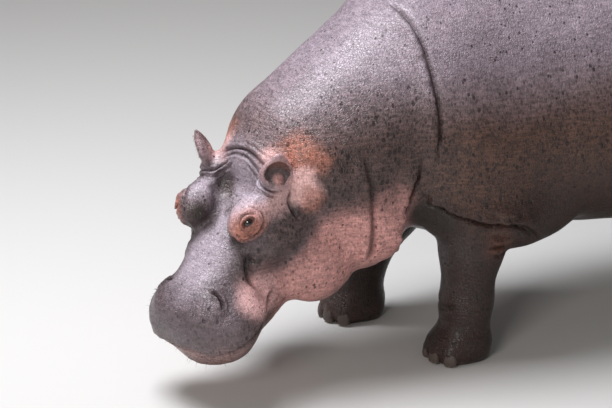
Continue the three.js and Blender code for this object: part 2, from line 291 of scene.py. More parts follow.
@dataclass(frozen=True)
class LegPlan:
    """One leg: its line from hip to toes, and its masses."""

    side: Side
    fore: bool
    hip: tuple[float, float]
    stride: float
    toes: int = 4
    fan: float = 100.0

    @property
    def foot(self) -> Vector:
        """The middle of the foot."""
        y = self.hip[1] + self.stride
        return Vector((self.side.value * self.hip[0], y - 24 if self.fore else y + 2, 48))

    def toe_places(self) -> list[tuple[Vector, float]]:
        """Each toe's middle and its heading in the floor's plane."""
        reach = 94 if self.fore else 86
        places = []
        for i in range(self.toes):
            heading = math.radians(-90 + self.fan * (i / (self.toes - 1) - 0.5))
            way = Vector((math.cos(heading), math.sin(heading), 0))
            places.append((Vector((self.foot.x, self.foot.y, 38)) + way * reach, heading))
        return places

    def masses(self) -> Flesh:
        """The leg's flesh."""
        x, hip_y, y = self.foot.x, self.hip[1], self.hip[1] + self.stride
        if self.fore:
            elbow, knee, ankle = (x, hip_y + 30 + 0.3 * self.stride, 440), (x, y + 4, 215), (x, y - 4, 95)
            limbs = [(128, 112), (110, 92), (92, 96)]
            foot, square = (108, 112, 72), 2.6
        else:
            elbow, knee, ankle = (x, hip_y - 30 + 0.2 * self.stride, 500), (x, y + 34, 240), (x, y + 18, 92)
            limbs = [(185, 130), (122, 84), (84, 88)]
            foot, square = (98, 106, 70), 2.6
        return Flesh(
            (
                (Limb((x, hip_y, 680), elbow, *limbs[0]), 0),
                (Limb(elbow, knee, *limbs[1]), 60),
                (Limb(knee, ankle, *limbs[2]), 40),
                (Lump(tuple(self.foot), foot, square), 40),
                *((Lump(tuple(at), (32, 38, 42)), 16) for at, _ in self.toe_places()),
            )
        )


@dataclass(frozen=True)
class BodyPlan:
    """The whole animal: trunk, neck, legs, tail and head."""

    back: float = 1385.0
    belly: float = 405.0
    half_girth: float = 460.0
    fore: tuple[float, float] = (262, -515)
    hind: tuple[float, float] = (250, 790)
    strides: tuple[float, float, float, float] = (10, -185, 95, -70)
    tail: tuple[Point, Point, Point] = ((0, 1165, 1075), (0, 1258, 930), (0, 1275, 690))
    head: HeadPlan = HeadPlan()

    def legs(self) -> dict[str, LegPlan]:
        """The four legs by the name of their foot."""
        names = ("forefoot_left", "forefoot_right", "hindfoot_left", "hindfoot_right")
        places = (self.fore, self.fore, self.hind, self.hind)
        sides = (Side.LEFT, Side.RIGHT, Side.LEFT, Side.RIGHT)
        return {
            name: LegPlan(side, name.startswith("fore"), hip, stride)
            for name, side, hip, stride in zip(names, sides, places, self.strides)
        }

    def trunk(self) -> Flesh:
        """The trunk's flesh."""
        middle = (self.back + self.belly) / 2
        girth = self.half_girth
        barrel = Lump((0, 190, middle + 12), (girth - 10, 950, self.back - middle - 12), 2.25)
        return Flesh(
            (
                (barrel, 0),
                (Lump((0, 180, self.belly + 340), (girth - 22, 600, 332)), 120),  # belly
                (Lump((0, -450, 850), (385, 460, 442)), 130),  # chest
                (Lump((0, -420, self.back - 268), (285, 440, 262)), 130),  # withers
                (Lump((0, 800, 935), (380, 440, 412)), 120),  # rump
                *both((self.fore[0], self.fore[1] + 10, 775), (150, 215, 335), 90, (-6, 0, 0)),  # shoulders
                *both((288, -330, 555), (112, 250, 145), 70),  # skin behind the elbows
                *both((self.hind[0], self.hind[1] - 20, 760), (168, 300, 350), 90, (10, 0, 0)),  # haunches
            )
        )

    def whole(self) -> Field:
        """All the flesh that the hide covers, but for the ears, down to the floor."""
        neck = Flesh(
            (
                (Limb((0, -620, 955), (50, -1020, 779), 398, 321), 0),
                (Lump((100, -885, 595), (238, 185, 240)), 80),  # throat
            )
        )
        root, bend, tip = self.tail
        tail = Flesh(((Limb(root, bend, 46, 30), 0), (Limb(bend, tip, 30, 15), 20)))
        legs = [(leg.masses(), 22) for leg in self.legs().values()]
        head = Placed(self.head.masses(), self.head.pose)
        return OnFloor(Flesh(((self.trunk(), 0), *legs, (neck, 80), (head, 36), (tail, 24))))


# ------------------------------------------------------------------------------------------ the hide's surface
class Surface:
    """A mesh whose vertices are moved as one array, in the animal's frame."""

    def __init__(self, mesh: bpy.types.Mesh) -> None:
        """Starts from a mesh in the animal's frame."""
        self.mesh = mesh
        self.read()

    def read(self) -> None:
        """Takes the vertices and edges from the mesh."""
        self.points = np.empty(len(self.mesh.vertices) * 3)
        self.mesh.vertices.foreach_get("co", self.points)
        self.points = self.points.reshape(-1, 3)
        self.edges = np.empty(len(self.mesh.edges) * 2, int)
        self.mesh.edges.foreach_get("vertices", self.edges)
        self.edges = self.edges.reshape(-1, 2)
        self.valence = np.maximum(np.bincount(self.edges.ravel(), minlength=len(self.points)), 1)

    def write(self) -> None:
        """Puts the moved vertices into the mesh."""
        self.mesh.vertices.foreach_set("co", self.points.ravel())
        self.mesh.update()

    def normals(self) -> np.ndarray:
        """The outward way at each vertex."""
        self.write()
        out = np.empty(len(self.points) * 3)
        self.mesh.vertex_normals.foreach_get("vector", out)
        return out.reshape(-1, 3)

    def neighbours(self, values: np.ndarray) -> np.ndarray:
        """The mean of each vertex's neighbours.

        Args:
            values: One row for each vertex.

        Returns:
            The means, as rows.
        """
        a, b = self.edges.T
        count = len(self.points)
        sums = [
            np.bincount(a, weights=column[b], minlength=count) + np.bincount(b, weights=column[a], minlength=count)
            for column in values.T
        ]
        return np.stack(sums, axis=1) / self.valence[:, None]

    def relax(self, times: int, amount: float = 0.5, where: np.ndarray | float = 1.0) -> None:
        """Evens out the vertices along the surface, with little loss of shape.

        Args:
            times: How many passes.
            amount: How far each vertex goes towards its neighbours' middle.
            where: A weight for each vertex.
        """
        weight = np.broadcast_to(np.asarray(where, float), len(self.points))[:, None]
        for _ in range(times):
            way = self.neighbours(self.points) - self.points
            out = self.normals()
            way -= out * np.sum(way * out, axis=1, keepdims=True)
            self.points = self.points + way * amount * weight

    def soften(self, times: int, where: np.ndarray | float = 1.0) -> None:
        """Smooths the shape itself by moving each vertex to its neighbours' middle."""
        weight = np.broadcast_to(np.asarray(where, float), len(self.points))[:, None]
        for _ in range(times):
            self.points = self.points + (self.neighbours(self.points) - self.points) * 0.5 * weight

    def settle(self, field_: Field, times: int, where: np.ndarray | None = None, most: float = 20.0) -> None:
        """Moves the vertices onto a field's surface.

        Args:
            field_: The field.
            times: How many steps.
            where: The vertices that move, or None for all.
            most: The longest step.
        """
        chosen = np.arange(len(self.points)) if where is None else np.flatnonzero(where)
        for _ in range(times):
            self.points[chosen] = settled(field_, self.points[chosen], most)

    def refine(self, where: np.ndarray) -> None:
        """Halves every face whose vertices are all chosen."""
        self.write()
        bm = bmesh.new()
        bm.from_mesh(self.mesh)
        bm.verts.ensure_lookup_table()
        faces = [f for f in bm.faces if all(where[v.index] for v in f.verts)]
        edges = list({e for f in faces for e in f.edges})
        bmesh.ops.subdivide_edges(bm, edges=edges, cuts=1, use_grid_fill=True)
        bm.to_mesh(self.mesh)
        bm.free()
        self.read()


def settled(field_: Field, p: np.ndarray, most: float = 20.0) -> np.ndarray:
    """Points moved one step towards a field's surface."""
    d = field_.distance(p)
    reach = 0.5
    slope = np.stack([(field_.distance(p + reach * axis) - d) / reach for axis in np.eye(3)], axis=1)
    step = d / np.maximum(np.sum(slope * slope, axis=1), 0.2)
    return p - slope * np.clip(step, -most, most)[:, None]


def curve(points: Sequence[Point], count: int = 28) -> np.ndarray:
    """A smooth line through a few points.

    Args:
        points: The points that it passes.
        count: How many points it gets.

    Returns:
        The line's points as rows.
    """
    p = np.array([points[0], *points, points[-1]], float)
    spans = len(points) - 1
    out = []
    for t in np.linspace(0, spans, count):
        i = min(int(t), spans - 1)
        s = t - i
        a, b, c, d = p[i : i + 4]
        out.append(0.5 * (2 * b + (c - a) * s + (2 * a - 5 * b + 4 * c - d) * s**2 + (3 * b - a - 3 * c + d) * s**3))
    return np.array(out)


def along_line(p: np.ndarray, line: np.ndarray) -> tuple[np.ndarray, np.ndarray, np.ndarray]:
    """The nearest place on a line for each point.

    Args:
        p: Points as rows.
        line: The line's points as rows.

    Returns:
        The distance, how far along the line from 0 to 1, and the way from the line to the point.
    """
    best = np.full(len(p), np.inf)
    share = np.zeros(len(p))
    way = np.zeros_like(p)
    for i, (a, b) in enumerate(zip(line[:-1], line[1:])):
        ab = b - a
        t = np.clip((p - a) @ ab / max(ab @ ab, 1e-9), 0, 1)
        off = p - a - t[:, None] * ab
        d = np.linalg.norm(off, axis=1)
        near = d < best
        best[near], share[near], way[near] = d[near], (i + t[near]) / (len(line) - 1), off[near]
    return best, share, way


@dataclass(frozen=True)
class Crease:
    """A fold in the hide along a line on it.

    depth is how deep its bottom lies and width half of its opening. lip is how high both sides swell. lap is
    how high the side towards `over` swells above the other one. shade is how dark its bottom is painted, as
    painted shade. ripple is how high the lesser wrinkles beside it are.
    """

    line: tuple[Point, ...]
    depth: float
    width: float
    lip: float = 0.0
    lap: float = 0.0
    over: Point = (0, 0, 0)
    shade: float = 0.6
    ends: tuple[float, float] = (0.15, 0.15)
    on_head: bool = True
    ripple: float = 0.0

    def lines(self, body: Field, head: Matrix, sides: Sequence[Side]) -> list[tuple[np.ndarray, np.ndarray]]:
        """The fold's line on each side, laid on the flesh, and the way of `over`.

        Args:
            body: The flesh.
            head: The head's pose.
            sides: The sides that have the fold.

        Returns:
            A line and a way for each side.
        """
        found = []
        for side in sides:
            mirror = np.array([side.value, 1, 1])
            line = curve([tuple(np.array(q) * mirror) for q in self.line])
            over = np.array(self.over, float) * mirror
            if self.on_head:
                line, over = placed(head, line), over @ np.array(head.to_3x3()).T
            for _ in range(4):
                line = settled(body, line)
            found.append((line, over))
        return found

    def near(self, p: np.ndarray, line: np.ndarray, reach: float) -> np.ndarray:
        """The numbers of the points in the box round a line, grown by reach."""
        return np.flatnonzero(np.all((p > line.min(0) - reach) & (p < line.max(0) + reach), axis=1))

    def press(self, surface: Surface, lines: Sequence[tuple[np.ndarray, np.ndarray]], fold: np.ndarray) -> None:
        """Presses the fold into the surface and marks its bottom with painted shade.

        Args:
            surface: The hide.
            lines: The fold's lines.
            fold: The painted shade of each vertex, changed in place.
        """
        w = self.width
        for line, over in lines:
            near = self.near(surface.points, line, w * 7)
            if not len(near):
                continue
            out = surface.normals()[near]
            d, share, way = along_line(surface.points[near], line)
            drift = np.array([noise.noise(Vector(q) / 34) for q in surface.points[near]])
            d = np.abs(d + drift * (0.5 if self.on_head else 0.3) * w)
            taper = smooth(0, self.ends[0], share) * smooth(0, self.ends[1], 1 - share) * (1 + 0.5 * drift)
            height = -self.depth * np.exp(-((d / w) ** 2))
            if self.ripple:
                height += self.ripple * np.cos(d / w * 2.6) * np.exp(-((d / (4.5 * w)) ** 2))
            height += self.lip * np.exp(-(((d - 1.7 * w) / (0.9 * w)) ** 2))
            if self.lap:
                towards = way @ (over / np.linalg.norm(over)) / w
                height += self.lap * smooth(0.0, 1.2, towards) * np.exp(-((d / (5 * w)) ** 2))
            surface.points[near] += out * (height * taper)[:, None]
            # painted shade at the fold's bottom
            mark = self.shade * np.exp(-((d / (0.8 * w)) ** 2)) * taper
            fold[near] = np.maximum(fold[near], mark)


# ------------------------------------------------------------------------------------------ paint
class Space(Enum):
    """The frame that a patch of colour is placed in."""

    HEAD = "head"
    BODY = "body"


@dataclass(frozen=True)
class Tone:
    """A colour of the hide, as linear light, and how many specks it carries."""

    red: float
    green: float
    blue: float
    specks: float = 0.5

    def row(self) -> np.ndarray:
        """The colour and the specks as one row."""
        return np.array([self.red, self.green, self.blue, self.specks])


@dataclass(frozen=True)
class Patch:
    """A soft-edged patch of one tone on the hide."""

    tone: Tone
    at: Point
    size: Point
    amount: float = 1.0
    edge: float = 0.5
    space: Space = Space.HEAD
    mirrored: bool = True

    def cover(self, p: np.ndarray) -> np.ndarray:
        """How much of each point, in the patch's space, it covers."""
        total = np.zeros(len(p))
        for side in Side if self.mirrored else (Side.LEFT,):
            at = np.array(self.at) * np.array([side.value, 1, 1])
            r = np.linalg.norm((p - at) / np.array(self.size), axis=1)
            total = np.maximum(total, 1 - smooth(1 - self.edge, 1 + self.edge, r))
        return total * self.amount


@dataclass(frozen=True)
class HidePaint:
    """The hide's tones, with painted highlight and painted shade among them, and where they lie."""

    lilac: Tone = Tone(0.275, 0.216, 0.255, 0.45)
    # a pale lilac laid on the head's wet top planes as painted highlight, where they catch the light
    painted_highlight: Tone = Tone(0.44, 0.365, 0.425, 0.3)
    flank: Tone = Tone(0.138, 0.066, 0.047, 1.0)
    # a dark brown for the low parts and the legs, made darker than their own as painted shade
    umber_and_shade: Tone = Tone(0.030, 0.012, 0.008, 0.6)
    rose: Tone = Tone(0.68, 0.335, 0.310, 0.55)
    coral: Tone = Tone(0.46, 0.165, 0.110, 0.7)
    blush: Tone = Tone(0.92, 0.56, 0.54, 0.25)
    slate: Tone = Tone(0.088, 0.052, 0.048, 1.0)
    # a dark brown laid as painted shade in hollows and corners, on the chest, behind the jowls and in the ears
    painted_shade: Tone = Tone(0.045, 0.028, 0.028, 0.5)
    # the deepest painted shade
    shade: Tone = Tone(0.020, 0.011, 0.008, 0.3)
    # the lips' pink, painted much paler than their own as painted light
    petal: Tone = Tone(1.0, 0.59, 0.58, 0.2)

    def patches(self) -> tuple[Patch, ...]:
        """The patches, in the order that they are laid."""
        body = Space.BODY
        return (
            # the body's underside, legs and chest: their own dark brown, deepened as painted shade
            Patch(self.umber_and_shade, (0, 100, 380), (800, 2200, 560), 0.75, 0.5, body, False),
            Patch(self.umber_and_shade, (0, 100, 330), (540, 1500, 360), 0.9, 0.5, body, False),
            Patch(self.umber_and_shade, (262, -500, 250), (210, 260, 360), 1.0, 0.4, body),
            Patch(self.umber_and_shade, (250, 850, 250), (210, 300, 360), 1.0, 0.4, body),
            Patch(self.flank, (360, -560, 700), (130, 210, 170), 0.5, 0.6, body),
            Patch(self.coral, (375, -440, 465), (50, 50, 60), 0.2, 0.8, body),
            # painted shade on the chest behind the throat
            Patch(self.shade, (310, -685, 565), (120, 120, 130), 1.0, 0.5, body),
            Patch(self.painted_shade, (150, -660, 430), (280, 170, 120), 0.9, 0.5, body),
            # the neck's side and the throat
            Patch(self.slate, (330, -930, 990), (100, 150, 130), 0.5, 0.8, body),
            Patch(self.slate, (390, -800, 830), (150, 170, 170), 0.7, 0.6, body),
            Patch(self.rose, (330, -830, 600), (110, 78, 170), 0.5, 0.35, body),
            Patch(self.rose, (100, -860, 420), (240, 200, 120), 0.5, 0.5, body, False),
            # the jowl and cheek
            Patch(self.rose, (265, -40, -320), (135, 190, 200), 1.0, 0.35),
            Patch(self.rose, (205, -230, -320), (110, 190, 130), 0.95, 0.4),
            Patch(self.slate, (300, 20, -60), (90, 130, 110), 0.9, 0.45),
            Patch(self.slate, (215, -215, -70), (80, 120, 70), 0.85, 0.55),
            # painted shade behind the jowl
            Patch(self.painted_shade, (350, 130, -190), (60, 100, 70), 0.45, 0.7),
            # round the ear
            Patch(self.coral, (196, -30, 95), (82, 66, 66), 0.9, 0.65),
            Patch(self.coral, (255, 0, 45), (46, 50, 50), 0.6, 0.7),
            Patch(self.blush, (125, -85, 105), (50, 50, 45), 0.6, 0.5),
            Patch(self.blush, (225, -95, 10), (60, 62, 62), 0.95, 0.45),
            Patch(self.coral, (245, -105, -40), (42, 44, 42), 0.6, 0.5),
            # painted highlight on the wet tops of the forehead and the snout, and a darker patch by the brow
            Patch(self.painted_highlight, (0, -190, 60), (125, 130, 90), 0.85, 0.6, mirrored=False),
            Patch(self.painted_highlight, (0, -430, -20), (95, 190, 70), 0.85, 0.6, mirrored=False),
            Patch(self.painted_highlight, (92, -205, 78), (46, 70, 50), 0.7, 0.6),
            Patch(self.slate, (110, -160, 95), (40, 50, 30), 0.35, 0.8),
            # round the eye
            Patch(self.rose, (150, -300, 85), (66, 84, 50), 0.8, 0.5, mirrored=False),
            Patch(self.coral, (176, -335, 52), (60, 60, 54), 0.85, 0.5, mirrored=False),
            
            Patch(self.coral, (-152, -352, 60), (34, 60, 62), 0.75, 0.6, mirrored=False),
            # painted shade on the far brow's inner slope
            Patch(self.slate, (-84, -330, 62), (48, 62, 50), 0.8, 0.6, mirrored=False),
            Patch(self.shade, (-74, -346, 48), (34, 44, 44), 0.9, 0.6, mirrored=False),
            # painted highlight on the far brow's top
            Patch(self.painted_highlight, (-100, -262, 92), (40, 60, 34), 0.4, 0.7, mirrored=False),
            Patch(self.slate, (-200, -106, 156), (52, 60, 72), 0.8, 0.6, mirrored=False),
            Patch(self.blush, (205, -215, 42), (60, 75, 45), 0.6, 0.55, mirrored=False),
            # painted highlight on the near brow's top
            Patch(self.painted_highlight, (108, -245, 88), (62, 84, 46), 0.85, 0.6, mirrored=False),
            # painted shade in the hollows by each eye and each brow, and on the far brow's inner side
            Patch(self.painted_shade, (112, -378, 5), (34, 44, 46), 0.85, 0.6),
            Patch(self.painted_shade, (56, -310, 10), (30, 74, 42), 0.6, 0.7),
            Patch(self.painted_shade, (-64, -190, 45), (42, 50, 46), 1.0, 0.7, mirrored=False),
            # painted shade in the hollow between the brows
            Patch(self.slate, (-34, -206, 30), (24, 40, 40), 0.7, 0.8, mirrored=False),
            Patch(self.slate, (8, -248, 16), (24, 44, 40), 0.7, 0.8, mirrored=False),
            # lips and muzzle
            # the lips' pink, painted paler than their own as painted light
            Patch(self.petal, (172, -452, -178), (78, 96, 90), 1.0, 0.45),
            # painted shade in the corner of the mouth
            Patch(self.painted_shade, (140, -414, -90), (34, 40, 46), 0.7, 0.7),
            Patch(self.slate, (190, -372, -130), (60, 60, 60), 0.7, 0.6),
            Patch(self.blush, (0, -640, -250), (190, 90, 60), 0.5, 0.6, mirrored=False),
            Patch(self.rose, (0, -450, -370), (190, 300, 70), 0.7, 0.5, mirrored=False),
        )

    def lay(self, p: np.ndarray, out: np.ndarray, head: Matrix) -> np.ndarray:
        """Each vertex's colour and specks.

        Args:
            p: The vertices in the animal's frame.
            out: The outward way at each of them.
            head: The head's pose.

        Returns:
            Rows of red, green, blue and specks.
        """
        drift = np.array([noise.noise_vector(Vector(q) / 90) for q in p])
        wobble = np.array([noise.noise(Vector(q) / 260) for q in p])
        q = p + drift * 26
        # lilac above, flank brown below: the hide's own tones; darker where it faces down, as painted shade
        down = smooth(-0.75, 0.9, -out[:, 2] + 0.25 * wobble)
        lower = smooth(0, 1, (1170 - q[:, 2]) / 370)
        share = np.clip(0.5 * down + 0.95 * lower, 0, 1)
        in_head = local(head, q)
        on_face = smooth(60, -160, in_head[:, 1]) * smooth(-330, -130, in_head[:, 2])
        share = share * (1 - 0.85 * on_face)
        colour = self.lilac.row() + (self.flank.row() - self.lilac.row()) * share[:, None]
        # the low body, back from the neck, goes towards dark brown: its own tone, deepened as painted shade
        deep = smooth(0, 1, (820 - q[:, 2]) / 420) * (1 - on_face) * smooth(-900, -650, q[:, 1])
        colour += (self.umber_and_shade.row() - colour) * 0.6 * deep[:, None]
        for patch in self.patches():
            cover = patch.cover(in_head if patch.space is Space.HEAD else q)
            colour += (patch.tone.row() - colour) * cover[:, None]
        return colour


# ------------------------------------------------------------------------------------------ the hide
@dataclass
class Hide:
    """The one skin over all the flesh: its shape, its folds and its paint."""

    plan: BodyPlan
    voxel: float = 19.0
    head_reach: float = 190.0
    lid: float = 4.5
    fine_fold: float = 7.5
    ear_knob: float = 15.0
    near_ear_pale: float = 0.6
    far_ear_pale: float = 0.2
    paint: HidePaint = field(default_factory=HidePaint)

    def creases(self) -> tuple[tuple[Crease, tuple[Side, ...]], ...]:
        """The folds of the hide, with the sides that have each."""
        left, pair = (Side.LEFT,), (Side.LEFT, Side.RIGHT)
        ahead = (0, -1, 0)
        collar = (
            (57, -743, 1328), (188, -716, 1291), (272, -700, 1231), (330, -695, 1158), (388, -681, 1007),
            (398, -680, 910), (388, -684, 800),
        )  # fmt: skip
        throat = (
            (385, -735, 850), (368, -745, 777), (350, -757, 720), (330, -765, 669), (300, -780, 575),
            (270, -788, 500), (200, -790, 430),
        )  # fmt: skip
        armpit = (
            (335, -705, 652), (361, -665, 635), (369, -569, 590), (397, -482, 552), (391, -354, 531),
            (320, -262, 465),
        )  # fmt: skip
        return (
            (Crease(collar, 13, 10, 0, 15, ahead, 0.9, (0.14, 0.2), False), pair),
            (Crease(throat, 20, 11, 0, 24, ahead, 0.95, (0.25, 0.1), False), pair),
            (Crease(armpit, 18, 11, 2, 26, (0.2, 0, 1), 0.95, (0.12, 0.18), False), pair),
            (Crease(((388, -520, 618), (402, -440, 585), (398, -370, 575)), 6, 8, 2, 6, (0.2, 0, 1), 0.5,
                    (0.3, 0.3), False), pair),
            # wrinkles at the elbow's back
            (Crease(((330, -400, 500), (375, -430, 492), (392, -470, 500)), 8, 7, 3, 3, (0, 0, 1), 0.7,
                    (0.2, 0.4), False), pair),
            (Crease(((320, -395, 462), (366, -428, 452), (385, -475, 462)), 8, 7, 3, 3, (0, 0, 1), 0.7,
                    (0.2, 0.4), False), pair),
            (Crease(((315, -395, 428), (360, -425, 418), (378, -470, 424)), 7, 7, 3, 3, (0, 0, 1), 0.6,
                    (0.2, 0.4), False), pair),
            # jowl over the throat
            (Crease(((340, 118, -10), (352, 100, -60), (358, 60, -150), (350, 14, -240), (330, -30, -330),
                     (285, -65, -425)), 17, 13, 0, 24, (0, -1, -0.1), 0.85, (0.5, 0.08)), pair),
            # from below the ear down the cheek
            (Crease(((178, -128, 40), (191, -158, 1), (214, -178, -35), (222, -184, -78)), 9, 7, 3, 3,
                    (0, 1, 0), 0.9, (0.2, 0.35)), pair),
            (Crease(((238, -40, -10), (268, -72, -60), (262, -110, -105)), 5, 10, 2, 0, (0, 0, 0), 0.35), pair),
            # the brow line from ear to ear, and the hollow between the brows
            (Crease(((-125, -104, 96), (-60, -92, 134), (0, -86, 142), (60, -96, 130), (118, -120, 98)), 8, 7,
                    2, 5, (0, 1, 0), 1.0, ripple=1.7), left),
            (Crease(((-90, -120, 110), (-30, -106, 134), (30, -112, 128), (84, -138, 100)), 4, 6, 2, 0,
                    (0, 0, 0), 0.8, ripple=1.2), left),
            (Crease(((-50, -70, 140), (20, -66, 142), (90, -84, 122)), 3, 6, 2, 0, (0, 0, 0), 0.5,
                    ripple=1.0), left),
            # folds round the ear's root, in front and below
            (Crease(((72, -128, 100), (108, -166, 84), (168, -182, 72), (205, -158, 52)), 7, 5, 3, 3,
                    (0.3, 1, 0), 1.0, (0.2, 0.25), ripple=1.8), pair),
            (Crease(((52, -138, 102), (100, -188, 80), (160, -200, 66), (206, -176, 44)), 5, 5, 2, 0,
                    (0, 0, 0), 0.9, (0.2, 0.3), ripple=2.0), pair),
            (Crease(((36, -126, 112), (78, -172, 88), (112, -208, 76), (168, -218, 62)), 4, 5, 2, 0,
                    (0, 0, 0), 0.7, (0.2, 0.3), ripple=2.0), pair),
            (Crease(((84, -150, 74), (72, -196, 50), (60, -245, 34)), 12, 22, 0, 0, (0, 0, 0), 0.45, (0.3, 0.3)),
             pair),
            (Crease(((95, -215, 60), (82, -275, 25), (92, -345, 0)), 9, 17, 3, 0, (0, 0, 0), 0.35), pair),
            # below and ahead of the eye
            (Crease(((150, -392, 30), (182, -372, 12), (214, -330, 8), (232, -280, 25)), 6, 7, 3, 2, (0, 0, 1),
                    0.6), pair),
            (Crease(((120, -395, 45), (118, -380, 10), (140, -400, -25)), 8, 11, 2, 0, (0, 0, 0), 0.6), pair),
            # the corner of the mouth, and the fold that rises from it
            (Crease(((142, -378, -48), (137, -392, -70), (139, -416, -92), (152, -436, -128), (160, -420, -170)),
                    22, 14, 4, 6, (0, -1, 0), 1.0, (0.25, 0.2)), pair),
            (Crease(((178, -372, -228), (196, -430, -238), (206, -500, -234), (205, -580, -226),
                     (172, -662, -218), (95, -700, -214), (0, -706, -212), (-95, -700, -214),
                     (-172, -662, -218), (-205, -580, -226), (-206, -500, -234), (-196, -430, -238),
                     (-178, -372, -228)), 16, 9, 4, 7, (0, 0, 1), 0.9, (0.06, 0.06)), left),
            # the nostrils
            (Crease(((92, -562, -26), (122, -560, -36), (150, -566, -50), (168, -582, -66), (170, -602, -84)),
                    18, 7, 6, 0, (0, 0, 0), 1.0, (0.3, 0.25)), pair),
            # wrists, ankles and the groin
            (Crease(((180, -590, 225), (262, -612, 205), (345, -590, 225)), 7, 12, 3, 0, (0, 0, 0), 0.4,
                    (0.2, 0.2), False), left),
            (Crease(((395, 560, 780), (400, 530, 640), (350, 545, 500), (250, 590, 440)), 12, 22, 3, 8,
                    (0, 1, 0), 0.4, (0.3, 0.15), False), pair),
        )  # fmt: skip

    def start(self) -> Surface:
        """One closed skin over merged copies of the flesh nodes and a plain lump for each ear."""
        bm = bmesh.new()
        for name in FLESH_NODES:
            if name in HIDDEN_NODES:
                continue
            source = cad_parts[name]
            piece = bmesh.new()
            piece.from_mesh(source.data)
            bmesh.ops.remove_doubles(piece, verts=piece.verts, dist=1e-6)
            bmesh.ops.transform(piece, matrix=TO_ROW.inverted() @ source.matrix_world, verts=piece.verts)
            copy = bpy.data.meshes.new(name)
            piece.to_mesh(copy)
            piece.free()
            bm.from_mesh(copy)
            bpy.data.meshes.remove(copy)
        for side in Side:
            wide, thick, length = self.plan.head.ear_size
            scale = Matrix.Diagonal((wide * 0.4, thick * 0.45, length * 0.55, 1))
            place = self.plan.head.ear_frame(side) @ Matrix.Translation((0, 5, length * 0.45)) @ scale
            bmesh.ops.create_icosphere(bm, subdivisions=3, radius=1, matrix=place)
        rough = bpy.data.meshes.new("hide_rough")
        bm.to_mesh(rough)
        bm.free()
        holder = bpy.data.objects.new("hide_rough", rough)
        bpy.context.scene.collection.objects.link(holder)
        wrap = holder.modifiers.new("wrap", "REMESH")
        wrap.mode, wrap.voxel_size = "VOXEL", self.voxel
        graph = bpy.context.evaluated_depsgraph_get()
        mesh = bpy.data.meshes.new_from_object(holder.evaluated_get(graph))
        bpy.data.objects.remove(holder)
        bpy.data.meshes.remove(rough)
        return Surface(mesh)

    def ear_near(self, surface: Surface, side: Side, grow: float) -> np.ndarray:
        """Marks the vertices on an ear or within `grow` of it."""
        shell = self.plan.head.ear_shell()
        return shell.distance(local(self.plan.head.ear_frame(side), surface.points)) < grow

    def flesh(self, cup: float = 0.0) -> Field:
        """The body with its ears and the lids' mounds.

        Args:
            cup: How far each ear's cup is hollowed out, from 0 to 1.

        Returns:
            The field.
        """
        head = self.plan.head
        ear = Hollow(head.ear_shell(), head.ear_cup(cup)) if cup else head.ear_shell()
        ears = [(Placed(ear, head.ear_frame(side)), 14.0) for side in Side]
        mounds = [
            (Placed(Lump((0, 0, 0), (head.eye_radius + self.lid,) * 3), head.eye_frame(side)), 22.0)
            for side in Side
        ]
        return Flesh(((self.plan.whole(), 0), *ears, *mounds))

    def open_lids(self, surface: Surface, side: Side, fold: np.ndarray) -> None:
        """Opens the lids over an eye and rings it with soft folds.

        Args:
            surface: The hide.
            side: Which eye.
            fold: The dark mark of each vertex, painted shade in the furrows, changed in place.
        """
        pose = self.plan.head.eye_frame(side)
        radius = self.plan.head.eye_radius
        q = local(pose, surface.points)
        near = np.flatnonzero((np.linalg.norm(q, axis=1) < 92) & (q[:, 2] > -14))
        a, b, c = q[near].T
        drift = np.array([noise.noise(Vector(v) / 24) for v in surface.points[near]]) * 5
        rho = np.hypot(a, b * 1.12)
        rho += drift * smooth(24, 40, rho)
        # the almond: long along the eye's X, with the upper lid more arched than the lower
        long, up, low = 22.0, 14.5, 11.0
        arch = np.where(b > 0, up, low)
        inside = 1 - ((np.abs(a) / long) ** 2.3 + (np.abs(b) / arch) ** 2.3) ** (1 / 2.3)
        edge = inside * 11.0  # about millimetres inside the rim
        length = np.linalg.norm(q[near], axis=1)
        ways = q[near] / np.maximum(length, 1e-6)[:, None]
        outer = length
        rim = np.exp(-(((edge + 3.2) / 2.6) ** 2)) * 1.8
        around = np.arctan2(b, a)
        above = smooth(-0.45, 0.35, np.cos(around - 2.0))  # above and ahead of the eye
        below = smooth(-0.35, 0.45, np.cos(around + 0.75))  # below and behind it
        ring = 2.6 * np.exp(-(((rho - 26) / 4.5) ** 2)) - 6.5 * np.exp(-(((rho - 34) / 3.4) ** 2)) * above
        ring += 3.6 * np.exp(-(((rho - 43) / 6) ** 2)) * above + 3.8 * np.exp(-(((rho - 42) / 9) ** 2)) * below
        ring -= 5.5 * np.exp(-(((rho - 57) / 4) ** 2)) * below
        ring += 2.5 * np.exp(-(((rho - 66) / 6) ** 2)) * below
        target = outer + rim + ring
        hole = smooth(-0.6, 2.6, edge)
        target = target + (radius - 6 - target) * hole
        q[near] = ways * target[:, None]
        surface.points[near] = placed(pose, q[near])
        # painted shade in the furrows above and below the eye, and a dark band along the lids' rim
        mark = np.exp(-(((rho - 34) / 2.8) ** 2)) * above + smooth(-3.0, -0.8, edge)
        mark += 0.9 * np.exp(-(((rho - 57) / 3.2) ** 2)) * below
        fold[near] = np.maximum(fold[near], np.clip(mark, 0, 1))

    def relief(self, surface: Surface, head_share: np.ndarray) -> None:
        """Gives the hide its slack, uneven lie and its shallow wrinkles."""
        out = surface.normals()
        broad = np.array([noise.noise(Vector(q) / 150) for q in surface.points])
        drape = np.array([noise.noise(Vector((q[0] / 60, q[1] / 60, q[2] / 170))) for q in surface.points])
        fine = np.array([noise.noise(Vector(q) / 26) for q in surface.points])
        height = broad * (5 - 2 * head_share) + drape * 2.2 * (1 - head_share) + fine * 1.5 * head_share
        surface.points += out * height[:, None]

